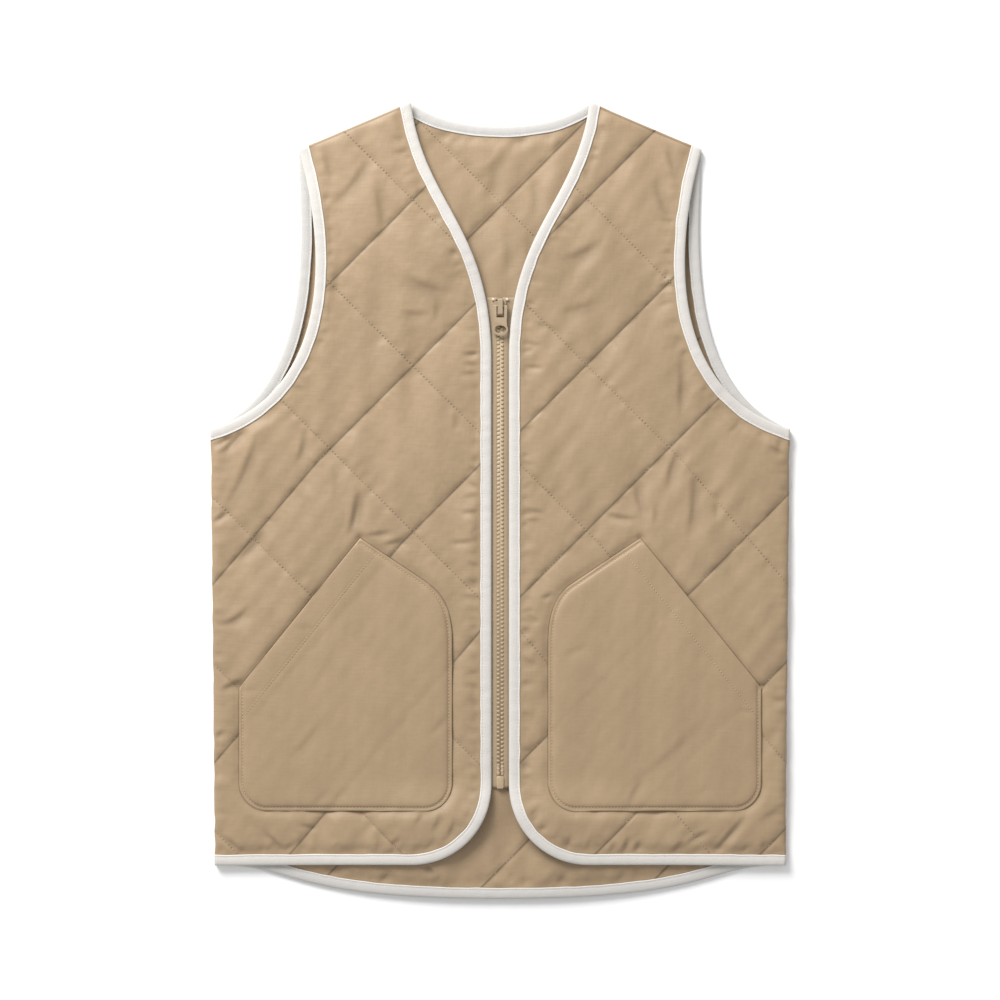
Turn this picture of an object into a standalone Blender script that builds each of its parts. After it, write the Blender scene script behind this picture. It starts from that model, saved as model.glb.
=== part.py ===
"""Quilted zip vest laid flat on its back.

The frame has +X to the wearer's left, +Y from hem to neck and +Z up, with the
origin on the surface under the middle of the vest.  Sizes below are in
millimetres, and every mesh is written in metres.
"""
import math

import bmesh
import bpy
from mathutils import Matrix, Vector

MM = 0.001
GAP = 0.3                      # clearance where two pieces meet

# Cut of the vest, measured flat: "out" is from the centre line, "up" from the middle of its length
NECK_POINT = (83.3, 371.2)     # high point of the shoulder, at the neck edge
SHOULDER_TIP = (188.0, 327.2)  # outer end of the shoulder seam
UNDERARM = (270.0, 66.9)       # upper end of the side seam
SIDE_HEM = (266.0, -340.0)     # lower end of the side seam
FRONT_EDGE_OUT = 8.1           # half the gap between the two front edges
NECK_FOOT_UP = 131.6           # where the neck curve runs into the straight front edge
CORNER_RADIUS = 74.4           # round lower corner of each front
FRONT_HEM_UP = -338.8          # lowest point of the front hem beside the round corner
BACK_NECK_UP = 349.4           # middle of the back neck
BACK_HEM_UP = -371.2           # middle of the back hem

# How far each curved edge runs on along its end tangents, as (out, up) from its two ends
#              leaving its first end   reaching its last end
NECK_PULL = ((-12.4, -96.1), (0.0, 123.3))
FRONT_ARMHOLE_PULL = ((-24.0, -80.1), (-119.4, 36.2))
BACK_ARMHOLE_PULL = ((0.0, -54.4), (-105.3, 42.1))
BACK_HEM_PULL = ((-80.5, 0.0), (208.6, 0.0))
BACK_NECK_PULL = ((-17.0, -12.0), (42.0, 0.0))

# Steps along each curved edge, and where its straight stretches have points
NECK_STEPS = 12
ARMHOLE_STEPS = 14
CORNER_STEPS = 8
BACK_NECK_STEPS = 7            # on each half
BACK_HEM_STEPS = 8             # on each half
STRAIGHT_SHARES = (0.33, 0.67)
HEM_SHARES = (0.5, 1.0)

# Layers, from the surface up
QUILT = 4.6                    # two cloths with wadding between them
BACK_LOW = 0.0
FRONT_LOW = BACK_LOW + QUILT + GAP
FRONT_HIGH = FRONT_LOW + QUILT
BACK_EDGE_MID = 2.5            # height of the bound edges of the back
FRONT_EDGE_MID = 6.9           # height of the bound edges of the fronts
ZIP_LIFT = 1.5                 # how much the front edges ride up over the zip
ZIP_LIFT_REACH = (20.0, 70.0)  # distances out between which that lift fades away
SEAM_WALL = 1.2                # height of a panel's edge at a side or shoulder seam
SEAM_ROUND = (0.0, 3.0, 9.0)   # distances from a seam of the rows that round it off
SEAM_ROUND_SHARE = 0.75        # share of the full height reached at the middle row
SEAM_SQUARE = 10.0             # run from a seam over which an edge's pieces follow the seam
SEAM_REACH = 60.0              # run from a seam where they stand square to the edge again

# Folded binding: a channel that wraps the pressed edge of a panel
BINDING_WIDTH = 9.6
BINDING_HALF = 1.8             # half its height
BINDING_WALL = 0.8
BINDING_FOLD = 1.0             # width of the sloping side along its fold
PRESSED_EDGE = 1.4             # height of a panel's edge inside the binding
CUT_EDGE = 1.5                 # from the finished edge to the panel's cut edge
PRESSED_ROW = 11.0             # distance from the finished edge where a panel starts to thicken
FULL_ROW = 26.0                # distance from the finished edge where it has its full height

# Quilting: two families of stitch lines at 45 degrees
QUILT_PITCH = 109.2            # between neighbouring lines
QUILT_DIP = 1.7                # depth of a stitch line below the pads
QUILT_SLOPE = 13.0             # from a stitch line to the flat of a pad
QUILT_REACH = 500.0            # stitch lines are laid out this far from the middle
CUT_TOLERANCE = 0.01           # points this near to a cut count as on it
# One line of each family on each panel, by what stays the same along it
#            x minus y   x plus y
QUILT_PHASE = {
    "back": (34.0, -30.3),
    "right": (101.8, 44.2),
    "left": (108.0, 52.5),
}

# Patch pockets
POCKET_APEX = (130.5, -34.7)
POCKET_OPENING_END = (243.2, -174.3)
POCKET_BOTTOM_UP = -288.8
POCKET_OUTER_OUT = 243.2
POCKET_INNER_OUT = 44.7
POCKET_CORNER = 26.0           # radius of the two lower corners
POCKET_SHOULDER = (66.5, -77.5)  # where the upper inner edge starts to bend down
POCKET_BEND_END_UP = -134.3    # where that bend meets the straight inner edge
POCKET_BEND_PULL = (26.0, 20.0)  # how far the bend runs on along its two ends
POCKET_STEPS = 6               # along each rounded corner and along the bend
POCKET_CLOTH = 1.2
POCKET_EDGE = 0.7              # height of the turned-in edge
POCKET_EDGE_ROW = 2.5
POCKET_HEM_WIDTH = 20.0        # turned hem along the opening
POCKET_HEM_RISE = 0.6
POCKET_HEM_STEP = 1.0          # width of the slope beside the hem

# Zip
ZIP_FOOT_UP = -267.5           # lower ends of the tapes
ZIP_TOP_UP = 189.5             # upper ends of the tapes
CHAIN_WIDTH = 7.0
CHAIN_LOW = 5.8
CHAIN_HIGH = 8.0
TAPE_THICK = 0.6
# Middle line of a tape's section, from the chain out to under the front panel
#               out   height
TAPE_SECTION = ((3.8, 6.9), (8.0, 6.1), (11.0, 5.7), (17.0, 5.5))
BOX_TOP_UP = -256.0
BOX_FOOT_UP = -268.8
BOX_WIDTH = 7.0
STOP_SIZE = (2.6, 2.4, 1.2)
STOP_PLACE = (6.4, 187.6)      # out, up
STOP_LOW = 7.1

SLIDER_TOP_UP = 188.5
SLIDER_FOOT_UP = 172.0
SLIDER_HEAD_WIDTH = 11.4
SLIDER_MOUTH_WIDTH = 9.6
SLIDER_BASE_LOW = 4.9
SLIDER_BASE_HIGH = 5.5
SLIDER_CROWN_LOW = 8.3
SLIDER_CROWN_HIGH = 9.5
SLIDER_CORNER = 1.6            # cut corners of the two plates
SLIDER_POST = (2.0, 6.0)       # width and length of the post that parts the teeth
SLIDER_POST_SET_BACK = 1.0     # from the slider's head to the post
BAIL_WIDTH = 4.7
BAIL_HEAD_UP = 188.0
BAIL_FOOT_UP = 172.9
BAIL_LEG = 1.5
BAIL_LOW = 11.7                # underside of the bail's bar
BAIL_HIGH = 13.1
BAIL_CHAMFER = 1.0
JOINED = 0.2                   # how far pieces of one casting run into each other

HINGE_UP = 181.3
HINGE_HEIGHT = 10.6
TAB_HALF = 0.8                 # half the tab's thickness, and the radius of its hinge bar
TAB_SHOULDER_WIDTH = 13.0
TAB_WAIST_WIDTH = 12.0
TAB_WAIST_DOWN = 14.0          # below the hinge
TAB_RING = (7.3, 6.0)          # half width and half length of the ring
TAB_RING_DOWN = 21.8           # below the hinge
TAB_HOLE = (5.5, 3.6)          # half width and half length of the hole
TAB_RING_SHARE = 0.6           # share of the ring's upper half that shows beside the shank
TAB_SLOT_WIDTH = 7.0
TAB_SLOT_DOWN = 10.7           # lower end of the slot for the bail, below the hinge
CUT_PAST = 1.0                 # how far a slot or a hole is cut past the tab's faces
ROUND_SIDES = 24
BAR_SIDES = 12

# Finishes: colour, roughness, metallic
FINISHES = {
    "quilt_cloth": ((0.50, 0.36, 0.22), 0.55, 0.0),
    "pocket_cloth": ((0.50, 0.36, 0.22), 0.55, 0.0),
    "binding_cloth": ((0.86, 0.82, 0.77), 0.75, 0.0),
    "zip_cloth": ((0.42, 0.30, 0.19), 0.80, 0.0),
    "zip_plastic": ((0.50, 0.36, 0.23), 0.40, 0.0),
    "zip_lacquer": ((0.50, 0.36, 0.24), 0.35, 0.0),
}


def finish(name):
    """Returns the Principled material of one finish."""
    material = bpy.data.materials.get(name)
    if material:
        return material
    colour, roughness, metallic = FINISHES[name]
    material = bpy.data.materials.new(name)
    material.use_nodes = True
    shader = material.node_tree.nodes["Principled BSDF"]
    shader.inputs["Base Color"].default_value = (*colour, 1.0)
    shader.inputs["Roughness"].default_value = roughness
    shader.inputs["Metallic"].default_value = metallic
    return material


def add_object(name, body, finish_name, origin=(0.0, 0.0, 0.0), smooth_angle=40.0):
    """Makes one named object from a mesh in millimetres, with its origin at the given point."""
    body.normal_update()
    bmesh.ops.triangulate(body, faces=[face for face in body.faces if len(face.verts) > 4])
    bmesh.ops.recalc_face_normals(body, faces=body.faces[:])
    bmesh.ops.translate(body, verts=body.verts[:], vec=-Vector(origin))
    bmesh.ops.scale(body, verts=body.verts[:], vec=(MM, MM, MM))
    mesh = bpy.data.meshes.new(name)
    body.to_mesh(mesh)
    body.free()
    mesh.shade_smooth()
    mesh.set_sharp_from_angle(angle=math.radians(smooth_angle))
    mesh.materials.append(finish(finish_name))
    piece = bpy.data.objects.new(name, mesh)
    piece.location = Vector(origin) * MM
    bpy.context.scene.collection.objects.link(piece)
    return piece


def ease(low, high, value):
    """Smooth step from 0 at low to 1 at high."""
    share = min(1.0, max(0.0, (value - low) / (high - low)))
    return share * share * (3.0 - 2.0 * share)


def pulled_curve(first, last, pull, count):
    """Cubic curve between two points, drawn out along its end tangents by the two pulls."""
    first, last = Vector(first), Vector(last)
    handles = (first, first + Vector(pull[0]), last + Vector(pull[1]), last)
    points = []
    for step in range(count + 1):
        t = step / count
        weights = ((1 - t) ** 3, 3 * (1 - t) ** 2 * t, 3 * (1 - t) * t * t, t ** 3)
        points.append(sum((h * w for h, w in zip(handles, weights)), Vector((0.0, 0.0))))
    return points


def arc(centre, radius, start, end, count):
    """Points on a circle between two angles in degrees, both ends included."""
    angles = [math.radians(start + (end - start) * step / count) for step in range(count + 1)]
    return [Vector(centre) + radius * Vector((math.cos(a), math.sin(a))) for a in angles]


def with_seam_rows(points):
    """Adds a point at each rounding distance from both ends of an edge."""
    for _ in range(2):
        direction = (points[1] - points[0]).normalized()
        rows = [points[0] + direction * distance for distance in SEAM_ROUND[1:]]
        points = [points[0], *rows, *points[1:]]
        points.reverse()
    return points


def mirrored(points, side):
    """Turns (out, up) points into (x, y) on one side: -1 is the wearer's right, 1 the left."""
    return [Vector((side * point.x, point.y)) for point in points]


# Finished edges on one half of the vest, from the shoulder seam to the side seam


def front_edge():
    """Neck, straight front edge, round corner and hem of one front."""
    foot = (FRONT_EDGE_OUT, NECK_FOOT_UP)
    neck = pulled_curve(NECK_POINT, foot, NECK_PULL, NECK_STEPS)
    corner_centre = (FRONT_EDGE_OUT + CORNER_RADIUS, FRONT_HEM_UP + CORNER_RADIUS)
    corner = arc(corner_centre, CORNER_RADIUS, 180.0, 270.0, CORNER_STEPS)
    straight = [neck[-1].lerp(corner[0], share) for share in STRAIGHT_SHARES]
    hem = [corner[-1].lerp(Vector(SIDE_HEM), share) for share in HEM_SHARES]
    return with_seam_rows(neck + straight + corner + hem)


def front_armhole():
    return with_seam_rows(pulled_curve(SHOULDER_TIP, UNDERARM, FRONT_ARMHOLE_PULL, ARMHOLE_STEPS))


def back_armhole():
    return with_seam_rows(pulled_curve(SHOULDER_TIP, UNDERARM, BACK_ARMHOLE_PULL, ARMHOLE_STEPS))


def back_neck():
    """Whole back neck, from the left shoulder to the right one."""
    half = pulled_curve(NECK_POINT, (0.0, BACK_NECK_UP), BACK_NECK_PULL, BACK_NECK_STEPS)
    return with_seam_rows(half + mirrored(half[-2::-1], -1))


def back_hem():
    """Whole back hem, from the right side seam to the left one."""
    half = pulled_curve(SIDE_HEM, (0.0, BACK_HEM_UP), BACK_HEM_PULL, BACK_HEM_STEPS)
    return with_seam_rows(mirrored(half, -1) + half[-2::-1])


class BoundEdge:
    """A finished edge with, at each of its points, the direction into the panel and a height.

    A step of d along a direction lies d inside the edge.  At the two ends the
    direction runs along the seam there, so that the pieces end flush with it.
    """

    def __init__(self, points, height):
        self.points = points
        self.mids = [height(point) for point in points]
        self.inward = []

    def settle(self, turn, seam_before, seam_after):
        """Works out the directions; turn is 1 where the panel lies left of the edge, else -1."""
        steps = [(b - a).normalized() for a, b in zip(self.points, self.points[1:])]
        normals = [turn * Vector((-step.y, step.x)) for step in steps]
        lengths = [0.0]
        for a, b in zip(self.points, self.points[1:]):
            lengths.append(lengths[-1] + (b - a).length)
        for index, length in enumerate(lengths):
            before = normals[max(index - 1, 0)]
            after = normals[min(index, len(normals) - 1)]
            square = (before + after) / (1.0 + before.dot(after))
            left_to_go = lengths[-1] - length
            seam = seam_before if length < left_to_go else seam_after
            share = 1.0 - ease(SEAM_SQUARE, SEAM_REACH, min(length, left_to_go))
            lean = square.normalized().lerp(seam.normalized(), share)
            self.inward.append(lean / lean.dot((before + after) / 2.0))

    def inside(self, index, distance):
        return self.points[index] + self.inward[index] * distance


def front_height(point):
    """Height of a front's bound edge, which rides up over the zip."""
    return FRONT_EDGE_MID + ZIP_LIFT * (1.0 - ease(*ZIP_LIFT_REACH, abs(point.x)))


def back_height(_point):
    return BACK_EDGE_MID


def ring_of_edges(edges):
    """Settles the edges of a panel, given in order round it with a straight seam between each."""
    outline = [point for edge in edges for point in edge.points]
    area = sum(a.x * b.y - b.x * a.y for a, b in zip(outline, outline[1:] + outline[:1]))
    for index, edge in enumerate(edges):
        earlier = edges[index - 1]
        later = edges[(index + 1) % len(edges)]
        edge.settle(math.copysign(1.0, area), earlier.points[-1] - edge.points[0],
                    later.points[0] - edge.points[-1])
    return edges


def seam_levels(low, high, seam_on_top):
    """Lower and upper height on each row that rounds off a seam, from the seam inwards."""
    levels = []
    for share in (0.0, SEAM_ROUND_SHARE, 1.0):
        wall = SEAM_WALL + share * (high - low - SEAM_WALL)
        levels.append((high - wall, high) if seam_on_top else (low, low + wall))
    return levels


def panel_body(edges, low, high, seam_on_top, quilt):
    """Wall of one panel: pressed strips along its bound edges, rounded seams, quilted middle."""
    body = bmesh.new()
    under, over, net = [], [], []

    def corner(place, levels):
        under.append(body.verts.new((place.x, place.y, levels[0])))
        over.append(body.verts.new((place.x, place.y, levels[1])))
        return len(under) - 1

    seam_rows = seam_levels(low, high, seam_on_top)
    strips = []
    for edge in edges:
        rows = []
        for distance in (CUT_EDGE, PRESSED_ROW, FULL_ROW):
            row = []
            for index, mid in enumerate(edge.mids):
                from_end = min(index, len(edge.mids) - 1 - index, len(SEAM_ROUND) - 1)
                pressed = (mid - PRESSED_EDGE / 2, mid + PRESSED_EDGE / 2)
                levels = seam_rows[from_end] if distance == FULL_ROW else pressed
                row.append(corner(edge.inside(index, distance), levels))
            rows.append(row)
        for outer, inner in zip(rows, rows[1:]):
            net += zip(outer, outer[1:], inner[1:], inner)
        strips.append(rows[-1])
    middle = []
    for index, strip in enumerate(strips):
        later = strips[(index + 1) % len(strips)]
        for row in range(len(SEAM_ROUND) - 1):
            net.append((strip[-1 - row], later[row], later[row + 1], strip[-2 - row]))
        middle += strip[len(SEAM_ROUND) - 1:1 - len(SEAM_ROUND)]

    sides = {}
    for cell in [*net, middle]:
        for a, b in zip(cell, (*cell[1:], cell[0])):
            sides[frozenset((a, b))] = sides.get(frozenset((a, b)), 0) + 1
    for cell in net:
        body.faces.new([over[index] for index in cell])
        body.faces.new([under[index] for index in cell])
    body.faces.new([under[index] for index in middle])
    pad_face = body.faces.new([over[index] for index in middle])
    for a, b in (tuple(side) for side, uses in sides.items() if uses == 1):
        body.faces.new((under[a], under[b], over[b], over[a]))
    quilt_face(body, pad_face, high, quilt)
    return body


def quilt_lines(phase):
    """Every stitch line as a normal and a distance along it."""
    lines = []
    for normal, offset in zip((Vector((1.0, -1.0)), Vector((1.0, 1.0))), phase):
        first = offset / math.sqrt(2.0)
        count = int(QUILT_REACH / QUILT_PITCH) + 1
        for step in range(-count, count + 1):
            lines.append((normal.normalized(), first + step * QUILT_PITCH))
    return lines


def quilt_face(body, face, high, phase):
    """Cuts a flat face along the stitch lines and beside them, then sinks the lines."""
    lines = quilt_lines(phase)
    body.normal_update()
    piece = [face, *face.edges, *face.verts]
    for normal, distance in lines:
        for beside in (-QUILT_SLOPE, 0.0, QUILT_SLOPE):
            cut = bmesh.ops.bisect_plane(
                body, geom=piece, dist=CUT_TOLERANCE, plane_no=normal.to_3d(),
                plane_co=(normal * (distance + beside)).to_3d())
            piece = cut["geom"]
    for vert in {vert for vert in piece if isinstance(vert, bmesh.types.BMVert)}:
        nearest = min(abs(normal.dot(vert.co.xy) - distance) for normal, distance in lines)
        if vert.co.z > high - CUT_TOLERANCE:
            vert.co.z -= QUILT_DIP * (1.0 - ease(0.0, QUILT_SLOPE, nearest))


def binding_body(edge):
    """Folded binding: a channel section carried along a bound edge."""
    lip = BINDING_HALF - BINDING_WALL
    throat = CUT_EDGE - GAP
    half_section = ((BINDING_WIDTH, lip), (BINDING_WIDTH, BINDING_HALF),
                    (BINDING_FOLD, BINDING_HALF), (0.0, BINDING_HALF / 2))
    section = [(throat, lip), *half_section]
    section += [(inside, -rise) for inside, rise in reversed(section)]
    body = bmesh.new()
    rings = []
    for index, mid in enumerate(edge.mids):
        places = [(edge.inside(index, inside), mid + rise) for inside, rise in section]
        rings.append([body.verts.new((place.x, place.y, height)) for place, height in places])
    for ring, later in zip(rings, rings[1:]):
        for index in range(len(section)):
            body.faces.new((ring[index - 1], ring[index], later[index], later[index - 1]))
    body.faces.new(rings[0])
    body.faces.new(rings[-1])
    return body


def pocket_outline(side):
    """Corner points of a patch pocket, from its apex round by the opening."""
    corner, low = POCKET_CORNER, POCKET_BOTTOM_UP
    outline = [Vector(POCKET_APEX), Vector(POCKET_OPENING_END)]
    outline += arc((POCKET_OUTER_OUT - corner, low + corner), corner, 0.0, -90.0, POCKET_STEPS)
    outline += arc((POCKET_INNER_OUT + corner, low + corner), corner, -90.0, -180.0, POCKET_STEPS)
    bend_start = (POCKET_INNER_OUT, POCKET_BEND_END_UP)
    slope = (Vector(POCKET_SHOULDER) - Vector(POCKET_APEX)).normalized()
    bend_pull = ((0.0, POCKET_BEND_PULL[0]), slope * POCKET_BEND_PULL[1])
    outline += pulled_curve(bend_start, POCKET_SHOULDER, bend_pull, POCKET_STEPS)
    return mirrored(outline, side)


def inset(outline, distance):
    """Outline moved inwards by one distance, square to its sides."""
    area = sum(a.x * b.y - b.x * a.y for a, b in zip(outline, outline[1:] + outline[:1]))
    turn = math.copysign(1.0, area)
    moved = []
    for index, point in enumerate(outline):
        into = (point - outline[index - 1]).normalized()
        away = (outline[(index + 1) % len(outline)] - point).normalized()
        before = turn * Vector((-into.y, into.x))
        after = turn * Vector((-away.y, away.x))
        moved.append(point + (before + after) * distance / (1.0 + before.dot(after)))
    return moved


def layered_body(layers):
    """Closed body through outlines at rising heights, with flat ends."""
    body = bmesh.new()
    rings = []
    for outline, height in layers:
        rings.append([body.verts.new((point.x, point.y, height)) for point in outline])
    for ring, later in zip(rings, rings[1:]):
        for index in range(len(ring)):
            body.faces.new((ring[index - 1], ring[index], later[index], later[index - 1]))
    body.faces.new(rings[0])
    top = body.faces.new(rings[-1])
    return body, top


def pocket_body(side):
    """Patch pocket lying on the pads of a front, with a turned hem along its opening."""
    outline = pocket_outline(side)
    low = FRONT_HIGH + GAP
    body, top = layered_body((
        (outline, low),
        (outline, low + POCKET_EDGE),
        (inset(outline, POCKET_EDGE_ROW), low + POCKET_CLOTH),
    ))
    along = (outline[1] - outline[0]).normalized()
    across = Vector((along.y, -along.x))
    middle = sum(outline, Vector((0.0, 0.0))) / len(outline)
    if across.dot(middle - outline[0]) < 0.0:
        across.negate()
    body.normal_update()
    piece = [top, *top.edges, *top.verts]
    for distance in (POCKET_HEM_WIDTH, POCKET_HEM_WIDTH + POCKET_HEM_STEP):
        cut = bmesh.ops.bisect_plane(
            body, geom=piece, dist=CUT_TOLERANCE, plane_no=across.to_3d(),
            plane_co=(outline[0] + across * distance).to_3d())
        piece = cut["geom"]
    for vert in {vert for vert in piece if isinstance(vert, bmesh.types.BMVert)}:
        if across.dot(vert.co.xy - outline[0]) < POCKET_HEM_WIDTH + POCKET_HEM_STEP / 2:
            vert.co.z += POCKET_HEM_RISE
    return body


def block(low, high, corner=0.0):
    """Upright block between two corners, with its upright edges cut off by the corner size."""
    left, right, near, far = low[0], high[0], low[1], high[1]
    outline = []
    for x, y, turn in ((left, near, 0), (right, near, 1), (right, far, 2), (left, far, 3)):
        to_x = corner if x == left else -corner
        to_y = corner if y == near else -corner
        pair = [Vector((x, y + to_y)), Vector((x + to_x, y))]
        outline += pair if turn % 2 == 0 else pair[::-1]
    if corner == 0.0:
        outline = outline[::2]
    return layered_body(((outline, low[2]), (outline, high[2])))[0]


def tape_body(side):
    """Zip tape: a thin strip that leans down from the chain to run under the front panel."""
    half = TAPE_THICK / 2
    section = [(out, height + half) for out, height in TAPE_SECTION]
    section += [(out, height - half) for out, height in reversed(TAPE_SECTION)]
    body = bmesh.new()
    rings = []
    for up in (ZIP_FOOT_UP, ZIP_TOP_UP):
        rings.append([body.verts.new((side * out, up, height)) for out, height in section])
    for index in range(len(section)):
        body.faces.new((rings[0][index - 1], rings[0][index], rings[1][index], rings[1][index - 1]))
    body.faces.new(rings[0])
    body.faces.new(rings[1])
    return body


def slider_plate(low, high):
    """Plate of the slider, wider at its head than at its mouth."""
    head, mouth, cut = SLIDER_HEAD_WIDTH / 2, SLIDER_MOUTH_WIDTH / 2, SLIDER_CORNER
    half = [(mouth - cut, SLIDER_FOOT_UP), (mouth, SLIDER_FOOT_UP + cut),
            (head, SLIDER_TOP_UP - 2 * cut), (head - cut, SLIDER_TOP_UP)]
    outline = [Vector(point) for point in half] + mirrored([Vector(point) for point in half[::-1]], -1)
    return layered_body(((outline, low), (outline, high)))[0]


def bail_body():
    """Bail over the hinge bar of the pull tab: an arch cut from a bar of one width."""
    head, foot, leg, cut = BAIL_HEAD_UP, BAIL_FOOT_UP, BAIL_LEG, BAIL_CHAMFER
    low, high = SLIDER_CROWN_HIGH - JOINED, BAIL_HIGH
    arch = ((foot, low), (foot, high - cut), (foot + cut, high), (head - cut, high),
            (head, high - cut), (head, low), (head - leg, low), (head - leg, BAIL_LOW),
            (foot + leg, BAIL_LOW), (foot + leg, low))
    body = bmesh.new()
    rings = []
    for x in (-BAIL_WIDTH / 2, BAIL_WIDTH / 2):
        rings.append([body.verts.new((x, up, height)) for up, height in arch])
    for index in range(len(arch)):
        body.faces.new((rings[0][index - 1], rings[0][index], rings[1][index], rings[1][index - 1]))
    body.faces.new(rings[0])
    body.faces.new(rings[1])
    return body


def ellipse(half_width, half_length, up, sides):
    """Points of an ellipse round a place on the centre line."""
    turns = [2.0 * math.pi * step / sides for step in range(sides)]
    return [Vector((half_width * math.cos(t), up + half_length * math.sin(t))) for t in turns]


def combine(piece, operation, body, origin=(0.0, 0.0, 0.0)):
    """Joins or cuts a piece with a second body, which stays hidden as a guide."""
    guide = add_object(piece.name + "_guide", body, piece.data.materials[0].name, origin)
    guide.hide_render = True
    guide.display_type = "WIRE"
    change = piece.modifiers.new(operation.lower(), "BOOLEAN")
    change.operation = operation
    change.solver = "EXACT"
    change.object = guide


def make_slider():
    """Slider: two plates on a post, with the bail on the upper plate."""
    slider = add_object("zip_slider", slider_plate(SLIDER_BASE_LOW, SLIDER_BASE_HIGH), "zip_lacquer")
    width, length = SLIDER_POST
    post = block((-width / 2, SLIDER_TOP_UP - SLIDER_POST_SET_BACK - length, SLIDER_BASE_HIGH - JOINED),
                 (width / 2, SLIDER_TOP_UP - SLIDER_POST_SET_BACK, SLIDER_CROWN_LOW + JOINED))
    combine(slider, "UNION", post)
    combine(slider, "UNION", slider_plate(SLIDER_CROWN_LOW, SLIDER_CROWN_HIGH))
    combine(slider, "UNION", bail_body())


def make_pull_tab():
    """Pull tab with a hinge bar, a slot for the bail and a ring, its origin on the hinge."""
    hinge = (0.0, HINGE_UP, HINGE_HEIGHT)
    ring_up = HINGE_UP - TAB_RING_DOWN
    waist_up = HINGE_UP - TAB_WAIST_DOWN
    ring = [point for point in ellipse(*TAB_RING, ring_up, ROUND_SIDES)
            if point.y < ring_up + TAB_RING_SHARE * TAB_RING[1]]
    ring.sort(key=lambda point: math.atan2(point.x, ring_up - point.y))
    outline = [Vector((-TAB_SHOULDER_WIDTH / 2, HINGE_UP)), Vector((-TAB_WAIST_WIDTH / 2, waist_up))]
    outline += ring
    outline += mirrored(outline[1::-1], -1)
    levels = (HINGE_HEIGHT - TAB_HALF, HINGE_HEIGHT + TAB_HALF)
    plate = layered_body([(outline, level) for level in levels])[0]
    tab = add_object("zip_pull_tab", plate, "zip_lacquer", hinge)
    below, above = levels[0] - CUT_PAST, levels[1] + CUT_PAST
    slot = block((-TAB_SLOT_WIDTH / 2, HINGE_UP - TAB_SLOT_DOWN, below),
                 (TAB_SLOT_WIDTH / 2, HINGE_UP + CUT_PAST, above))
    combine(tab, "DIFFERENCE", slot)
    hole = ellipse(*TAB_HOLE, ring_up, ROUND_SIDES)
    combine(tab, "DIFFERENCE", layered_body(((hole, below), (hole, above)))[0])
    bar = bmesh.new()
    half_side = Matrix.Rotation(math.pi / BAR_SIDES, 4, "X")
    turned = Matrix.Translation(hinge) @ half_side @ Matrix.Rotation(math.pi / 2, 4, "Y")
    bmesh.ops.create_cone(bar, cap_ends=True, segments=BAR_SIDES, radius1=TAB_HALF, radius2=TAB_HALF,
                          depth=TAB_SHOULDER_WIDTH, matrix=turned)
    combine(tab, "UNION", bar)


def make_back():
    """Back panel with its neck, hem and armhole bindings."""
    armholes = {side: mirrored(back_armhole(), side) for side in (-1, 1)}
    neck = BoundEdge(back_neck(), back_height)
    right = BoundEdge(armholes[-1], back_height)
    hem = BoundEdge(back_hem(), back_height)
    left = BoundEdge(armholes[1][::-1], back_height)
    edges = ring_of_edges([neck, right, hem, left])
    panel = panel_body(edges, BACK_LOW, BACK_LOW + QUILT, True, QUILT_PHASE["back"])
    add_object("back_panel", panel, "quilt_cloth")
    names = ("binding_back_neck", "binding_armhole_back_right", "binding_back_hem",
             "binding_armhole_back_left")
    for name, edge in zip(names, edges):
        add_object(name, binding_body(edge), "binding_cloth")


def make_front(side, name):
    """One front with its bindings, pocket, zip tape and top stop."""
    front = BoundEdge(mirrored(front_edge(), side), front_height)
    armhole = BoundEdge(mirrored(front_armhole(), side)[::-1], front_height)
    edges = ring_of_edges([front, armhole])
    panel = panel_body(edges, FRONT_LOW, FRONT_HIGH, False, QUILT_PHASE[name])
    add_object("front_panel_" + name, panel, "quilt_cloth")
    add_object("binding_front_" + name, binding_body(front), "binding_cloth")
    add_object("binding_armhole_front_" + name, binding_body(armhole), "binding_cloth")
    add_object("pocket_" + name, pocket_body(side), "pocket_cloth")
    add_object("zip_tape_" + name, tape_body(side), "zip_cloth")
    out, up = STOP_PLACE
    width, length, height = STOP_SIZE
    stop = block((side * out - width / 2, up - length / 2, STOP_LOW),
                 (side * out + width / 2, up + length / 2, STOP_LOW + height))
    add_object("zip_top_stop_" + name, stop, "zip_plastic")


def make_zip():
    """Closed chain as one bar, the box at its foot, the slider and the pull tab."""
    half = CHAIN_WIDTH / 2
    chain = block((-half, BOX_TOP_UP + GAP, CHAIN_LOW), (half, SLIDER_FOOT_UP - GAP, CHAIN_HIGH))
    add_object("zip_chain", chain, "zip_plastic")
    box = block((-BOX_WIDTH / 2, BOX_FOOT_UP, CHAIN_LOW - GAP),
                (BOX_WIDTH / 2, BOX_TOP_UP, CHAIN_HIGH + GAP))
    add_object("zip_retainer_box", box, "zip_plastic")
    make_slider()
    make_pull_tab()


def main():
    for old in list(bpy.data.objects):
        bpy.data.objects.remove(old, do_unlink=True)
    make_back()
    make_front(-1, "right")
    make_front(1, "left")
    make_zip()


main()
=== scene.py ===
"""Looks of the quilted zip vest that lies flat: quilted panels, patch pockets, bound edges, zip.

Sizes are in millimetres until a mesh is written, in metres.  +X is the wearer's left, +Y runs
from hem to neck, and +Z is up from the surface that the vest lies on.
"""
import math

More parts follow.
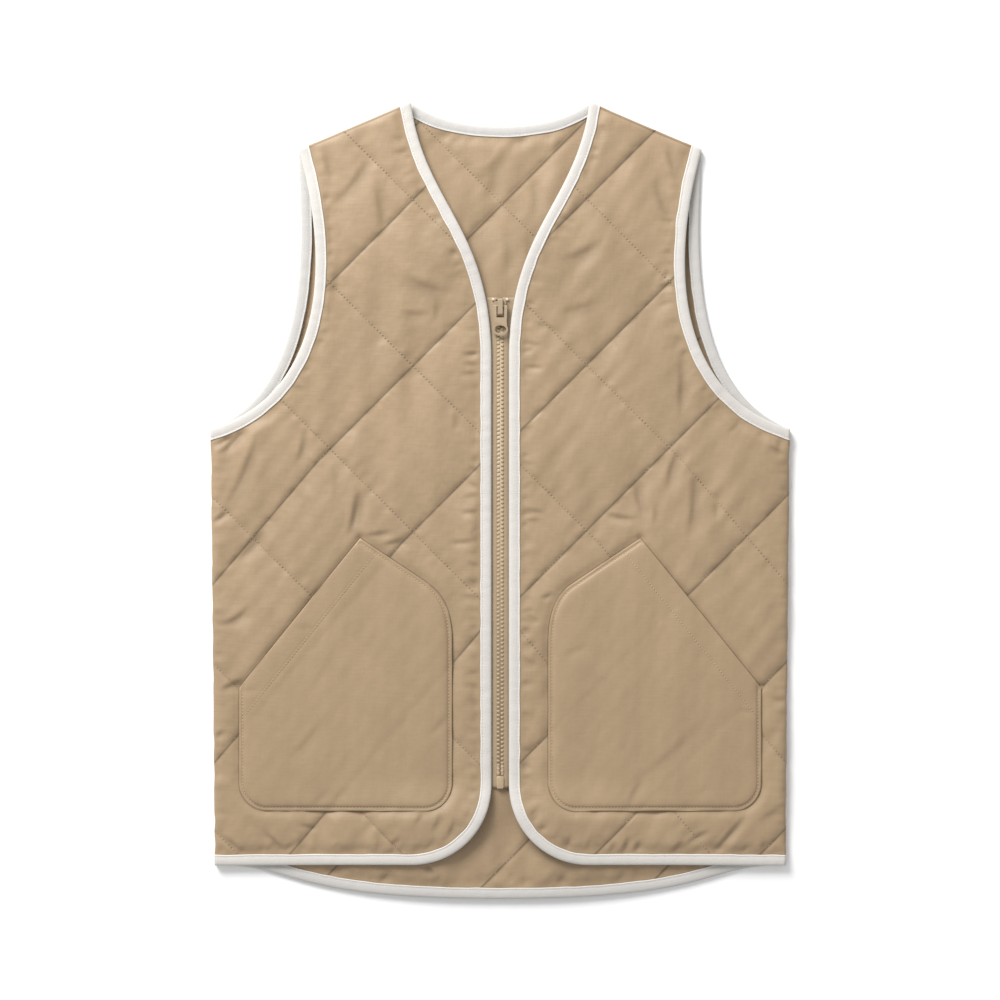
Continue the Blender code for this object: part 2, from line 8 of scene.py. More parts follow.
import bmesh
import bpy
import numpy as np
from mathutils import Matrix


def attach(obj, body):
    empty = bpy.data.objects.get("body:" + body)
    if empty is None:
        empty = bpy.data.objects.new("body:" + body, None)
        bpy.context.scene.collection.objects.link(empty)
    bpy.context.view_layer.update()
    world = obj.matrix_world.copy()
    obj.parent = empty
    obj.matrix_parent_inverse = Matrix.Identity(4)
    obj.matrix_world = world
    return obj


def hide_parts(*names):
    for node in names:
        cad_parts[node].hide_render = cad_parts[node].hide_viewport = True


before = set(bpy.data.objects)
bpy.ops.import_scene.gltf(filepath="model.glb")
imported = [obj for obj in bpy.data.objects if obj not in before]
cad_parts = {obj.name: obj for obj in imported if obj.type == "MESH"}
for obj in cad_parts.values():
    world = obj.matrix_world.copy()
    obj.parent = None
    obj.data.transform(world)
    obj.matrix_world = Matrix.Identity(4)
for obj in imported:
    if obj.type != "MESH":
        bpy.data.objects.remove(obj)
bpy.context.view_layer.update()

MM = 0.001
GAP = 0.3                      # clearance where two pieces meet
DIAGONAL = math.sqrt(0.5)
SIDES = {"right": -1, "left": 1}

# Cut of the vest, as in the part: "out" is from the centre line, "up" from the middle of its length
NECK_POINT = (83.3, 371.2)
SHOULDER_TIP = (188.0, 327.2)
UNDERARM = (270.0, 66.9)
SIDE_HEM = (266.0, -340.0)
FRONT_EDGE_OUT = 8.1
NECK_FOOT_UP = 131.6
CORNER_RADIUS = 74.4
FRONT_HEM_UP = -338.8
BACK_NECK_UP = 349.4
BACK_HEM_UP = -371.2
# How far each curved edge runs on along its end tangents
#              leaving its first end   reaching its last end
NECK_PULL = ((-12.4, -96.1), (0.0, 123.3))
FRONT_ARMHOLE_PULL = ((-24.0, -80.1), (-119.4, 36.2))
BACK_ARMHOLE_PULL = ((0.0, -54.4), (-105.3, 42.1))
BACK_HEM_PULL = ((-80.5, 0.0), (208.6, 0.0))
BACK_NECK_PULL = ((-17.0, -12.0), (42.0, 0.0))
PATH_STEP = 2.5                # between the points of an edge
SEAM_SQUARE = 10.0             # run from a seam over which an edge's pieces follow the seam
SEAM_REACH = 60.0              # run from a seam where they stand square to the edge again

# Layers
BACK_LOW = 0.0
FRONT_LOW = 4.9
QUILT = 4.6                    # height of a pad
CROWN = 1.1                    # how much the middle of a pad stands above its sides
STITCHED = 1.5                 # height of the quilt under a stitch
LEAST_QUILT = 0.6              # least height of the quilt anywhere
# A pad rises from a stitch line through a sharp dip and a soft one, each a share and a reach:
# steeply above a rising line, where the pad hangs over it, and gently below it
STEEP_DIPS = ((0.6, 2.3), (0.4, 8.5))
GENTLE_DIPS = ((0.15, 2.0), (0.85, 17.0))
STITCH_DEPTHS = (1.0, 0.55)    # share of the full depth on rising and on falling lines
STITCH_STRENGTH = (0.85, 0.2)  # usual share of that depth, and how much it varies
STITCH_STRENGTH_ENDS = (0.5, 1.0)
STITCH_STRENGTH_WAVES = (25.0, 80.0)
UNDER_LIFT = 0.6               # how far a stitch lifts the underside
BACK_EDGE_MID = 2.5
FRONT_EDGE_MID = 6.9
ZIP_LIFT = 1.5
ZIP_LIFT_REACH = (20.0, 70.0)
FRONT_LIFT = (6.5, 5.0)        # how far the fronts stand off the back below the zip and at the neck
FRONT_LIFT_ENDS = ((-300.0, -255.0), (175.0, 250.0))
FRONT_LIFT_REACH = (25.0, 190.0)
HEM_LIFT = 2.6                 # how far the middle of the back hem curls off the floor
HEM_LIFT_REACH = (32.0, 70.0)  # distances from the hem between which that lift fades away
HEM_LIFT_SPAN = (40.0, 190.0)
BACK_SINK = 1.5                # how far the zip presses the back down
BACK_SINK_REACH = (15.0, 60.0)
ARMHOLE_LIFT = 3.0             # how far the fronts' armhole edges stand up
ARMHOLE_LIFT_ENDS = ((80.0, 130.0), (270.0, 325.0))
ARMHOLE_LIFT_OUT = (110.0, 150.0)
ARMHOLE_SINK = 3.2             # how far the back sinks beside its armhole bindings
ARMHOLE_SINK_AT = 13.5         # distance from the edge where it is deepest
ARMHOLE_SINK_REACH = 4.5
ARMHOLE_SINK_UP = (80.0, 120.0)
ARMHOLE_SINK_OUT = (100.0, 140.0)
ARMHOLE_SINK_UNDER = 0.8       # share of that sinking on the underside
BACK_SINK_ENDS = ((-371.0, -335.0), (195.0, 240.0))
SEAM_ROUND = 9.0               # distance over which a seam's edge rounds off
SEAM_SHARE = 0.22              # share of the height that is left at the seam itself
SHOULDER_LINE = 1.9            # from the shoulder seam to the line that it shows, drawn as painted shade

# Bound edges
BINDING_WIDTH = 10.3
CUT_EDGE = 1.5
PRESSED_EDGE = 1.4
PRESSED_ROW = 9.7              # distance from the edge where a panel starts to thicken
FULL_ROW = 22.0
# Section of the folded binding, from its stitched lip round the fold, above its middle
#                 inside  rise
BINDING_OUTSIDE = ((10.3, 1.05), (10.15, 1.5), (9.7, 1.72), (9.15, 1.6), (8.6, 1.3), (7.9, 1.5),
                   (6.6, 1.75), (4.8, 1.85), (3.2, 1.8), (1.8, 1.6), (0.8, 1.2), (0.2, 0.6),
                   (0.0, 0.0))
BINDING_INSIDE = ((1.25, 0.45), (1.7, 0.95), (5.0, 1.0), (10.1, 0.95))
STITCH_INSIDE = (8.6, 1.32)    # inside and rise of the stitches beside the lip
BINDING_LIP_HIGHLIGHT = (8.5, 9.9)       # inside distances between which the painted highlight on the lip begins
# How a binding changes along its run: amount, shortest and longest wave
BINDING_WIDER = (0.012, 14.0, 60.0)
BINDING_FULLER = (0.05, 5.0, 26.0)
BINDING_SWAY = (0.12, 30.0, 90.0)
FULLER_ABOVE = 1.01            # rise past which a point of the section swells
SWAY_INSIDE = 2.0              # inside distance past which it sways

# Quilting
QUILT_PITCH = 109.2
QUILT_PHASE = {"back": (34.0, -30.3), "right": (101.8, 44.2), "left": (108.0, 52.5)}
QUILT_REACH = 620.0            # stitch lines are laid out this far from the middle
# Low on the fronts the lines that run out from the zip lean away from 45 degrees: the rising ones
# on the right front and the falling ones on the left
LEAN_START = 93.0              # run along a line where it starts to lean
LEAN_SLOPE = 0.08
BACK_FALLING_UP = -290.0       # the back's falling lines end here
RISING_SUNK = 0.65             # how much deeper the stitches of rising lines lie
CLEAR_OF_BINDING = 2.0         # quilting stitches stay this far from what they meet
CLEAR_OF_SEAM = 2.5
CLEAR_OF_POCKET = 2.0
NET_PER_PAD = {"back": 40, "right": 56, "left": 56}

# Patch pockets
POCKET_APEX = (130.5, -34.7)
POCKET_OPENING_END = (243.2, -174.3)
POCKET_BOTTOM_UP = -288.8
POCKET_OUTER_OUT = 243.2
POCKET_INNER_OUT = 44.7
POCKET_CORNER = 26.0
POCKET_SHOULDER = (66.5, -77.5)
POCKET_BEND_END_UP = -134.3
POCKET_BEND_PULL = (26.0, 20.0)
POCKET_CLOTH = 0.8
POCKET_LEAST = 0.35            # least thickness of the pocket's cloth
POCKET_EDGE_CLOTH = 0.4        # height of its edge before it rounds off
POCKET_EDGE_ROUND = 1.3        # distance over which its edge rounds off
POCKET_HEM_WIDTH = 20.0
POCKET_HEM_RISE = 0.15
POCKET_TOPSTITCH = 3.3         # from the pocket's edge to its stitches
POCKET_GROOVE = (0.8, 1.0)     # depth and reach of the groove under those stitches
POCKET_HEM_GROOVE = (0.35, 1.0)
POCKET_HEM_FADE = (1.0, 2.0)   # distances before and after its line where the hem's rise fades
POCKET_GATHER = (0.16, 9.0)    # height and reach of the gathers beside those stitches
POCKET_GATHER_RUN = (0.8, 0.6)
POCKET_PULL_DOWN = 1.7         # how far those stitches pull the quilt down
POCKET_PULL_REACH = 5.0
POCKET_DITCH = 0.2             # how much deeper the quilt lies right beside the pocket's edge
OPENING_SAG = 1.5              # how far the quilt sinks along the pocket's opening
OPENING_SAG_REACH = 2.6
POCKET_RELIEF = 0.22           # share of the quilting that shows through
POCKET_ROOM = 2.2              # how far the quilt is pressed down under the pocket's cloth
POCKET_ROOM_REACH = 5.0
POCKET_STEP = 2.6
# Distances from the edge of the pocket's outer rows; the others lie evenly up to its middle
POCKET_ROWS = (0.0, 0.25, 0.7, 1.3, 2.0, 2.7, 3.3, 3.9, 4.6, 5.6, 7.5, 10.0)
POCKET_HALF = 112.0            # usual distance from its edge to its middle
POCKET_EVEN_ROWS = 40

# Zip
ZIP_FOOT_UP = -267.5
ZIP_TOP_UP = 189.5
TAPE_SECTION = ((2.6, 6.9), (4.8, 6.9), (6.6, 6.6), (8.2, 6.0), (11.0, 5.7), (17.0, 5.6))
TAPE_THICK = 0.6
TAPE_WAVE = (0.10, 12.0, 50.0)  # how it changes along its run, as for a binding
TAPE_STEPS = (1.0, 2.5)        # between its points, across and along
CHAIN_FOOT_UP = -255.7
CHAIN_TOP_UP = 171.7
TOOTH_PITCH = 3.85
TOOTH_HALF = (1.5, 1.15, 1.0)  # half its reach across, along and up
TOOTH_OUT = 1.8                # middle of a tooth from the centre line
TOOTH_MID = 7.1
CORD_HALF = (3.2, 0.75)        # half the width and height of the woven cord under the teeth
CORD_MID = 6.75
CORD_SIDES = 16
BOX_HALF = (3.6, 6.2, 1.5)
BOX_MID = (0.0, -262.5, 6.9)
PIN_HALF = (1.3, 5.5, 1.0)
PIN_MID = (2.0, -251.0, 6.9)
STOP_HALF = (1.5, 1.3, 0.75)
STOP_MID = (6.4, 187.6, 7.7)
# How round the edges of the moulded pieces are: 1 gives an egg, 0 a box
MOULDED_EDGES = {"tooth": 0.5, "pin": 0.4, "box": 0.3, "stop": 0.45}
SLIDER_EDGE = 0.35             # rounding of the cast slider's edges
TAB_EDGE = 0.3
SMOOTH_ANGLE = math.radians(1.0)   # facets that meet flatter than this are merged
SHARP_ANGLE = math.radians(28.0)   # edges sharper than this are rounded

# Stitches: pitch, length of the bead and thickness of the thread
QUILTING_STITCH = (3.6, 2.6, 0.6)
BINDING_STITCH = (3.1, 2.3, 0.42)
POCKET_STITCH = (3.1, 2.2, 0.75)
UNDER_STITCH = 0.4             # thickness of the quilting thread on the underside
# Rings of a bead: place along its half length and share of its thickness
BEAD_RINGS = ((-0.8, 0.75), (0.0, 1.0), (0.8, 0.75))
BEAD_SIDES = 5
BEAD_LIFT = 0.7                # how far its middle stands up, in half thicknesses
BEAD_SINK = 0.6                # how far its ends go down

# Soft unevenness of the pads, each a heap of waves
#            length  height  first and last heading of the waves
PAD_RIPPLES = ((46.0, 0.50, -30.0, 30.0),
               (21.0, 0.20, -50.0, 60.0),
               (9.0, 0.045, 0.0, 180.0))
# The same columns for the pockets
POCKET_RIPPLES = ((60.0, 0.30, -60.0, 60.0),
                  (19.0, 0.07, 0.0, 180.0))
STITCH_GATHER = 0.30           # height of the gathers along a stitch line
STITCH_GATHER_REACH = 6.5
STITCH_GATHER_START = 1.2
EDGE_GATHER = 0.25             # height of the gathers beside a binding
EDGE_GATHER_REACH = 10.0
# Puckers beside the bindings: smallest and largest step, length, half width and depth
PUCKER_STEP = (6.0, 20.0)
PUCKER_LENGTH = (9.0, 26.0)
PUCKER_WIDTH = (2.2, 3.3)
PUCKER_DEPTH = (0.2, 1.1)
PUCKER_START = 5.0             # distance from a binding over which creases set in
PUCKER_LEAN = -14.0            # usual slant from square to the edge, in degrees
PUCKER_SLANT = 22.0            # how much that slant varies
PUCKER_BEND = 2.0
PUCKER_SET_IN = 0.3            # share of its length from the binding to its middle
SIDE_DRAW = 0.35               # how far the side seams are drawn in
SIDE_DRAW_REACH = 14.0
SIDE_DRAW_USUAL = 0.8
SIDE_DRAW_WAVES = (22.0, 80.0)
SIDE_DRAW_OTHER = 1.13         # how much closer the waves are on the right side
SIDE_DRAW_ENDS = 30.0          # run from either end of the seam over which it sets in
SEAM_GATHER = 0.35
SEAM_GATHER_REACH = 7.0

# First seed of the random draws for each kind of unevenness
SEEDS = {"puckers": 50, "stitch_gather": 100, "stitch_strength": 120, "edge_gather": 200,
         "seam_gather": 300, "pocket_gather": 400, "pocket_ripples": 410, "binding_wider": 500,
         "binding_fuller": 520, "binding_sway": 540, "tape_wave": 600, "side_draw": 700}
RIPPLE_SPREAD = (0.65, 1.6)    # shortest and longest wave of a heap, as shares of its length
GATHER_FADE = (90.0, 260.0)    # runs over which gathers come and go
GATHER_MEAN = 0.19             # mean square of one gather that comes and goes
# Shifts along the run, so that no two edges, stitch lines or sides of a line gather alike
EDGE_SHIFT = 1000.0
LINE_SHIFT = 977.0
LINE_SIDE_SHIFT = 431.0

CREASE_DEPTH = 2.0             # how much deeper the creases below are in the crisp cloth
CREASE_WIDTH = 0.8             # how much narrower
FULL_FOLD = 1.6                # depth of a fold that is fully darkened by painted shade
FOLD_SHARPNESS = 1.5
CREASE_SIDES = (0.8, 2.2)      # share of its width on its steep and on its gentle side
CREASE_RIDGE = 0.1             # height of the faint ridges beside it, as a share of its depth
CREASE_ENDS = 1.4              # how fast it fades towards its ends
# Creases, listed one by one: middle, heading in degrees, length, half width, height and bend
CREASES = {
    "right": (
        # x      y       heading length width height bend
        (-111.0, 273.5, 97.0, 58.0, 4.5, -0.8, 2.0),
        (-159.9, 311.2, 104.0, 38.0, 3.8, -0.7, 0.0),
        (-132.9, 299.1, 53.5, 88.0, 5.0, -0.7, 6.0),
        (-70.0, 198.6, -19.6, 52.0, 6.0, -0.9, 3.0),
        (-79.8, 172.9, 0.0, 30.0, 4.0, -0.6, 2.0),
        (-58.8, 176.0, 90.0, 26.0, 3.5, -0.6, 0.0),
        (-28.0, 137.0, 4.0, 18.0, 1.9, -0.5, 0.0),
        (-27.0, 127.5, -6.0, 16.0, 1.8, -0.5, 0.0),
        (-29.0, 118.5, 3.0, 20.0, 2.0, -0.5, 0.0),
        (-28.6, -10.5, 2.0, 20.0, 2.0, -0.6, 0.0),
        (-34.6, -38.4, 5.0, 30.0, 2.2, -0.6, 1.0),
        (-259.5, 55.8, 29.0, 26.0, 2.4, -0.9, 0.0),
        (-249.1, 53.9, 42.0, 38.0, 2.7, -1.2, 1.0),
        (-237.6, 26.0, 66.0, 98.0, 4.6, -1.0, 5.0),
        (-261.3, -15.8, 35.0, 24.0, 2.3, -1.0, 1.0),
        (-184.0, 49.1, 77.0, 36.0, 3.0, -0.8, 1.0),
        (-152.9, 18.4, 92.0, 46.0, 3.6, -0.45, 2.0),
        (-41.2, 73.8, 90.0, 20.0, 3.0, -0.6, 0.0),
        (-230.2, -40.3, 52.6, 46.0, 3.5, -1.0, 2.0),
        (-246.5, -110.6, 30.6, 38.0, 3.5, -0.9, 4.0),
        (-134.7, -12.3, 79.0, 50.0, 4.0, -1.5, 2.0),
        (-113.3, -31.0, 9.0, 30.0, 2.6, -0.7, 0.0),
        (-99.3, -38.9, 14.7, 24.0, 2.5, -0.7, 0.0),
        (-250.2, -171.6, 25.5, 26.0, 2.5, -0.8, 0.0),
        (-198.0, 205.0, 80.0, 40.0, 5.0, -0.6, 3.0),
        (-58.2, -299.4, 67.0, 24.0, 2.6, -0.6, 1.0),
        (-44.8, -304.1, 69.0, 22.0, 2.4, -0.7, 1.0),
        (-75.0, -295.2, 60.0, 15.0, 2.2, -0.5, 0.0),
        (-98.0, -317.0, 32.0, 14.0, 2.2, -0.6, 0.0),
        (-248.0, -320.1, -38.0, 32.0, 2.3, -0.6, 0.0),
        (-210.3, -316.8, -45.0, 27.0, 2.4, -0.8, 0.0),
        (-178.8, -303.4, -14.0, 21.0, 2.2, -0.6, 0.0),
        (-262.0, -218.0, 40.0, 16.0, 2.2, -0.6, 0.0),
    ),
    "left": (
        (158.8, 316.3, -74.7, 42.0, 3.6, -0.8, 2.0),
        (150.2, 277.0, -70.9, 52.0, 4.6, -0.8, 3.0),
        (77.6, 229.7, 24.9, 50.0, 6.0, -0.8, 3.0),
        (75.2, 178.5, 20.0, 42.0, 6.0, -0.7, 2.0),
        (27.0, 185.0, -22.0, 16.0, 2.0, -0.5, 0.0),
        (41.9, 162.3, -26.0, 26.0, 2.5, -0.6, 0.0),
        (29.6, 146.5, -11.0, 22.0, 2.0, -0.6, 0.0),
        (31.4, 124.6, -5.0, 22.0, 2.0, -0.6, 0.0),
        (153.9, 209.7, 60.0, 14.0, 2.0, -0.6, 2.0),
        (168.9, 104.5, 90.0, 64.0, 3.6, -0.9, 1.0),
        (160.1, 30.0, 73.0, 50.0, 4.0, -1.0, -4.0),
        (180.3, -4.0, 86.5, 66.0, 4.2, -1.0, 2.0),
        (144.7, -13.0, 90.0, 24.0, 3.0, -0.7, 0.0),
        (200.9, -10.0, 88.0, 18.0, 3.0, -0.6, 0.0),
        (129.2, 0.7, -76.8, 38.0, 3.6, -1.0, 1.0),
        (112.5, -15.6, -8.8, 34.0, 2.6, -0.8, 1.0),
        (43.6, -88.7, 26.0, 14.0, 2.0, -0.7, 0.0),
        (31.0, -9.5, -10.0, 26.0, 2.0, -0.6, 0.0),
        (29.0, -18.4, 0.0, 20.0, 2.0, -0.5, 0.0),
        (30.4, -109.4, -38.0, 16.0, 2.0, -0.6, 0.0),
        (260.8, 63.1, -39.0, 14.0, 2.2, -0.7, 0.0),
        (258.2, 46.5, -30.0, 18.0, 2.5, -0.8, 0.0),
        (212.4, -312.1, 48.6, 54.0, 2.6, -1.1, 0.0),
        (253.5, -291.6, 34.0, 32.0, 4.0, -0.5, 1.0),
        (183.2, -313.0, 30.0, 32.0, 2.4, -0.8, -2.0),
        (226.7, -324.4, 45.0, 15.0, 2.1, -0.7, 0.0),
        (164.4, -322.6, 48.0, 17.0, 2.2, -0.8, 0.0),
        (62.7, -318.4, 74.0, 14.0, 2.0, -0.6, 0.0),
        (103.6, -323.5, 66.0, 13.0, 2.0, -0.6, 0.0),
        (116.5, -319.8, 68.0, 18.0, 2.1, -0.7, 0.0),
        (127.0, -322.6, 70.0, 13.0, 2.0, -0.6, 0.0),
        (262.0, -186.0, -8.0, 18.0, 2.2, -0.6, 0.0),
    ),
    "back": (
        (32.8, 283.0, 92.0, 40.0, 4.0, -0.7, 2.0),
        (7.3, 232.0, 93.0, 48.0, 4.5, -0.7, 2.0),
        (-5.0, 300.0, 80.0, 44.0, 6.0, -0.5, 3.0),
        (19.0, 338.0, 75.0, 22.0, 3.0, -0.5, 0.0),
        (-4.0, 321.0, 52.0, 34.0, 4.0, 0.5, 2.0),
        (54.0, 332.0, 60.0, 20.0, 3.0, -0.6, 0.0),
        (27.0, 235.0, 95.0, 32.0, 4.0, -0.5, 0.0),
        (-25.0, 250.0, 80.0, 52.0, 6.0, -0.5, 3.0),
        (-66.3, -342.9, -40.0, 16.0, 2.4, -0.9, 0.0),
        (8.2, -352.0, 76.0, 13.0, 2.2, -0.5, 0.0),
        (20.8, -355.6, 72.0, 11.0, 2.2, -0.5, 0.0),
        (46.4, -352.6, 66.0, 16.0, 2.4, -0.6, 0.0),
        (57.0, -351.2, 64.0, 18.0, 2.4, -0.6, 0.0),
        (-110.0, -352.0, 40.0, 16.0, 2.6, -0.6, 0.0),
        (112.0, -350.0, 62.0, 18.0, 2.6, -0.6, 0.0),
    ),
}

# The same columns for creases in the pockets
POCKET_CREASES = {
    "right": (
        (-57.0, -209.7, 48.0, 30.0, 2.6, -0.8, 1.0),
        (-234.0, -176.0, 4.0, 18.0, 2.2, -0.6, 0.0),
        (-161.0, -156.0, 60.0, 64.0, 6.0, -0.5, 3.0),
        (-182.0, -118.0, 0.0, 24.0, 2.6, -0.5, 0.0),
        (-178.6, -224.5, 50.0, 62.0, 6.0, -0.8, 3.0),
        (-150.0, -276.0, 60.0, 22.0, 2.8, -0.7, 0.0),
        (-166.0, -276.0, 48.0, 24.0, 3.2, -0.6, 0.0),
    ),
    "left": (
        (70.8, -139.7, 25.0, 30.0, 3.0, -0.6, 0.0),
        (66.0, -225.0, -50.0, 34.0, 3.0, -0.5, 2.0),
        (161.5, -235.0, 42.0, 115.0, 6.0, -0.9, 3.0),
        (230.0, -196.0, -12.0, 18.0, 2.2, -0.6, 0.0),
        (125.0, -272.0, 60.0, 32.0, 3.0, -0.9, -2.0),
        (189.0, -270.0, 44.0, 18.0, 3.0, -0.5, 0.0),
    ),
}

# Colours as the photographed cloth shows them, in linear light
KHAKI = (0.320, 0.2235, 0.1305)
KHAKI_THREAD = (0.43, 0.32, 0.21)
CREAM = (0.548, 0.523, 0.485)
# Painted shade: the same cream tape, darker on the back's bindings
SHADED_BACK_CREAM = (0.49, 0.472, 0.447)
CREAM_THREAD = (0.62, 0.60, 0.57)
TAPE_BROWN = (0.335, 0.252, 0.163)
TEETH_BROWN = (0.40, 0.30, 0.19)
# Painted light: the top stops' plastic made paler, as where light catches them
LIT_STOP_CREAM = (0.60, 0.49, 0.36)
LACQUER_BROWN = (0.33, 0.246, 0.157)
FLOOR_WHITE = (0.93, 0.93, 0.93)
# Weaves: pitch of the threads in metres, scale of the slubs, and heights in millimetres
NYLON_PITCH = 0.00045
NYLON_SLUBS = 70.0
NYLON_WEAVE = 0.03
QUILT_SLUB = 0.14
POCKET_SLUB = 0.12
COTTON_PITCH = 0.0006
COTTON_SLUBS = 150.0
COTTON_SLUB = 0.2
COTTON_WEAVE = 0.07
TWILL_PITCH = 0.0007
TWILL_WEAVE = 0.12
TWILL_SLANT = math.radians(32.0)
THREAD_PITCH = 0.0004
THREAD_TWIST = 0.05
SKIN_SCALE = 900.0             # fine unevenness of moulded and lacquered pieces
SKIN_HEIGHT = 0.05
LIP_HIGHLIGHT = 0.25               # how much paler the lip of a binding is painted, a painted highlight
# Painted shade along lines in the quilt's colour: half width in metres and how much darker they are
RISING_LINE_SHADE = (0.0010, 0.45)
FALLING_LINE_SHADE = (0.0007, 0.15)
DITCH_SHADE = (0.0008, 0.435)   # painted contact shadow round the pockets and along the shoulder seams
PIT_SHADE = 0.24              # painted shade in the needle pits along the falling lines
PIT_DEPTH = 0.35
PIT_PATCHES = (70.0, 0.38, 0.66)  # scale of their patches, and the noise where they start and are full
# Painted shade in the folds
FOLD_SHADE = 0.18
SEWN_SHADE = 0.09             # painted shade right beside a stitch line
SEWN_SHARPNESS = 5.0

# Camera and light, in metres
VIEW_WIDTH = 0.931             # width of the picture at the vest
VIEW_MIDDLE = (-0.0002, 0.0007, 0.009)
LENS = 100.0
SENSOR = 36.0
KEY_PLACE = (-1.19, 2.06, 1.6)
KEY_SIZE = 1.45
KEY_POWER = 122.0
SURROUND = 0.64
FLOOR_HALF = 4.0
FLOOR_DROP = 0.0002


# Paths and distances


def ease(low, high, value):
    """Smooth step from 0 at low to 1 at high."""
    share = np.clip((value - low) / (high - low), 0.0, 1.0)
    return share * share * (3.0 - 2.0 * share)


def unit(vectors):
    """Vectors of length 1 along the given ones."""
    return vectors / np.linalg.norm(vectors, axis=-1, keepdims=True)


def runs(path):
    """Length along a path at each of its points."""
    return np.concatenate([[0.0], np.cumsum(np.linalg.norm(np.diff(path, axis=0), axis=1))])


def stepped(path, step):
    """A path's points again, at even steps with both ends kept."""
    run = runs(path)
    even = np.linspace(0.0, run[-1], max(2, round(run[-1] / step)) + 1)
    return np.stack([np.interp(even, run, column) for column in path.T], axis=1)


def pulled_curve(first, last, pull, count=120):
    """Cubic curve between two points, drawn out along its end tangents by the two pulls."""
    first, last = np.array(first), np.array(last)
    t = np.linspace(0.0, 1.0, count + 1)[:, None]
    near, far = first + pull[0], last + pull[1]
    return ((1 - t) ** 3 * first + 3 * (1 - t) ** 2 * t * near
            + 3 * (1 - t) * t ** 2 * far + t ** 3 * last)


def arc(centre, radius, start, end, count=40):
    """Points on a circle between two angles in degrees, both ends included."""
    turn = np.radians(np.linspace(start, end, count + 1))
    return np.array(centre) + radius * np.stack([np.cos(turn), np.sin(turn)], axis=1)


def signed_area(outline):
    """Area inside a closed outline, positive where it runs anticlockwise."""
    later = np.roll(outline, -1, axis=0)
    return 0.5 * np.sum(outline[:, 0] * later[:, 1] - later[:, 0] * outline[:, 1])


def closed(outline):
    """An outline with its first point again at its end."""
    return np.concatenate([outline, outline[:1]])


def nearest(places, path):
    """Distance from each place to a path, the run along it there and the path's own point."""
    starts, spans = path[:-1], np.diff(path, axis=0)
    run, squares = runs(path), (spans ** 2).sum(axis=1)
    found = []
    for block in np.array_split(places, 1 + len(places) * len(spans) // 3_000_000):
        offset = block[:, None] - starts
        share = np.clip((offset * spans).sum(axis=2) / squares, 0.0, 1.0)
        gap = ((offset - share[..., None] * spans) ** 2).sum(axis=2)
        best = gap.argmin(axis=1)
        row = np.arange(len(block))
        share = share[row, best]
        found.append(np.column_stack([np.sqrt(gap[row, best]),
                                      run[best] + share * np.sqrt(squares[best]),
                                      starts[best] + share[:, None] * spans[best]]))
    found = np.concatenate(found)
    return found[:, 0], found[:, 1], found[:, 2:]


def inside(places, outline):
    """True where a place lies within a closed outline: the crossings towards +X are odd."""
    ends = np.roll(outline, -1, axis=0)
    rise = ends[:, 1] - outline[:, 1]
    slope = (ends[:, 0] - outline[:, 0]) / np.where(rise == 0.0, 1.0, rise)
    found = []
    for block in np.array_split(places, 1 + len(places) * len(outline) // 6_000_000):
        x, y = block[:, :1], block[:, 1:]
        crosses = (outline[:, 1] > y) != (ends[:, 1] > y)
        before = x < outline[:, 0] + (y - outline[:, 1]) * slope
        found.append((crosses & before).sum(axis=1) % 2 == 1)
    return np.concatenate(found)


# Finished edges on one half of the vest, as (out, up), from the shoulder seam to the side seam


def front_edge():
    """Neck, straight front edge, round corner and hem of one front."""
    neck = pulled_curve(NECK_POINT, (FRONT_EDGE_OUT, NECK_FOOT_UP), NECK_PULL)
    centre = (FRONT_EDGE_OUT + CORNER_RADIUS, FRONT_HEM_UP + CORNER_RADIUS)
    corner = arc(centre, CORNER_RADIUS, 180.0, 270.0)
    return stepped(np.concatenate([neck, corner, [SIDE_HEM]]), PATH_STEP)


def armhole(pull):
    """Armhole edge of one front or of one side of the back."""
    return stepped(pulled_curve(SHOULDER_TIP, UNDERARM, pull), PATH_STEP)


def back_neck():
    """Whole back neck, from the left shoulder to the right one."""
    half = pulled_curve(NECK_POINT, (0.0, BACK_NECK_UP), BACK_NECK_PULL)
    return stepped(np.concatenate([half, half[-2::-1] * (-1, 1)]), PATH_STEP)


def back_hem():
    """Whole back hem, from the right side seam to the left one."""
    half = pulled_curve(SIDE_HEM, (0.0, BACK_HEM_UP), BACK_HEM_PULL)
    return stepped(np.concatenate([half * (-1, 1), half[-2::-1]]), PATH_STEP)


def front_lift(places):
    """How far a front stands off the back near the neck and below the zip."""
    (low, low_end), (high, high_end) = FRONT_LIFT_ENDS
    along = (FRONT_LIFT[0] * (1.0 - ease(low, low_end, places[:, 1]))
             + FRONT_LIFT[1] * ease(high, high_end, places[:, 1]))
    return along * (1.0 - ease(*FRONT_LIFT_REACH, np.abs(places[:, 0])))


def hem_lift(places):
    """How far the back curls off the floor towards the middle of its hem."""
    hem = back_hem()
    above = places[:, 1] - np.interp(places[:, 0], hem[:, 0], hem[:, 1])
    middle = 1.0 - ease(*HEM_LIFT_SPAN, np.abs(places[:, 0]))
    return HEM_LIFT * middle * (1.0 - ease(*HEM_LIFT_REACH, above))


def back_sink(places):
    """How far the back is pressed down under the zip."""
    (low, low_end), (high, high_end) = BACK_SINK_ENDS
    along = ease(low, low_end, places[:, 1]) * (1.0 - ease(high, high_end, places[:, 1]))
    return BACK_SINK * along * (1.0 - ease(*BACK_SINK_REACH, np.abs(places[:, 0])))


def armhole_sink(places, off):
    """How far the back sinks beside its armhole bindings, at a distance from its edge."""
    beside = ease(*ARMHOLE_SINK_UP, places[:, 1]) * ease(*ARMHOLE_SINK_OUT, np.abs(places[:, 0]))
    return ARMHOLE_SINK * beside * np.exp(-((off - ARMHOLE_SINK_AT) / ARMHOLE_SINK_REACH) ** 2)


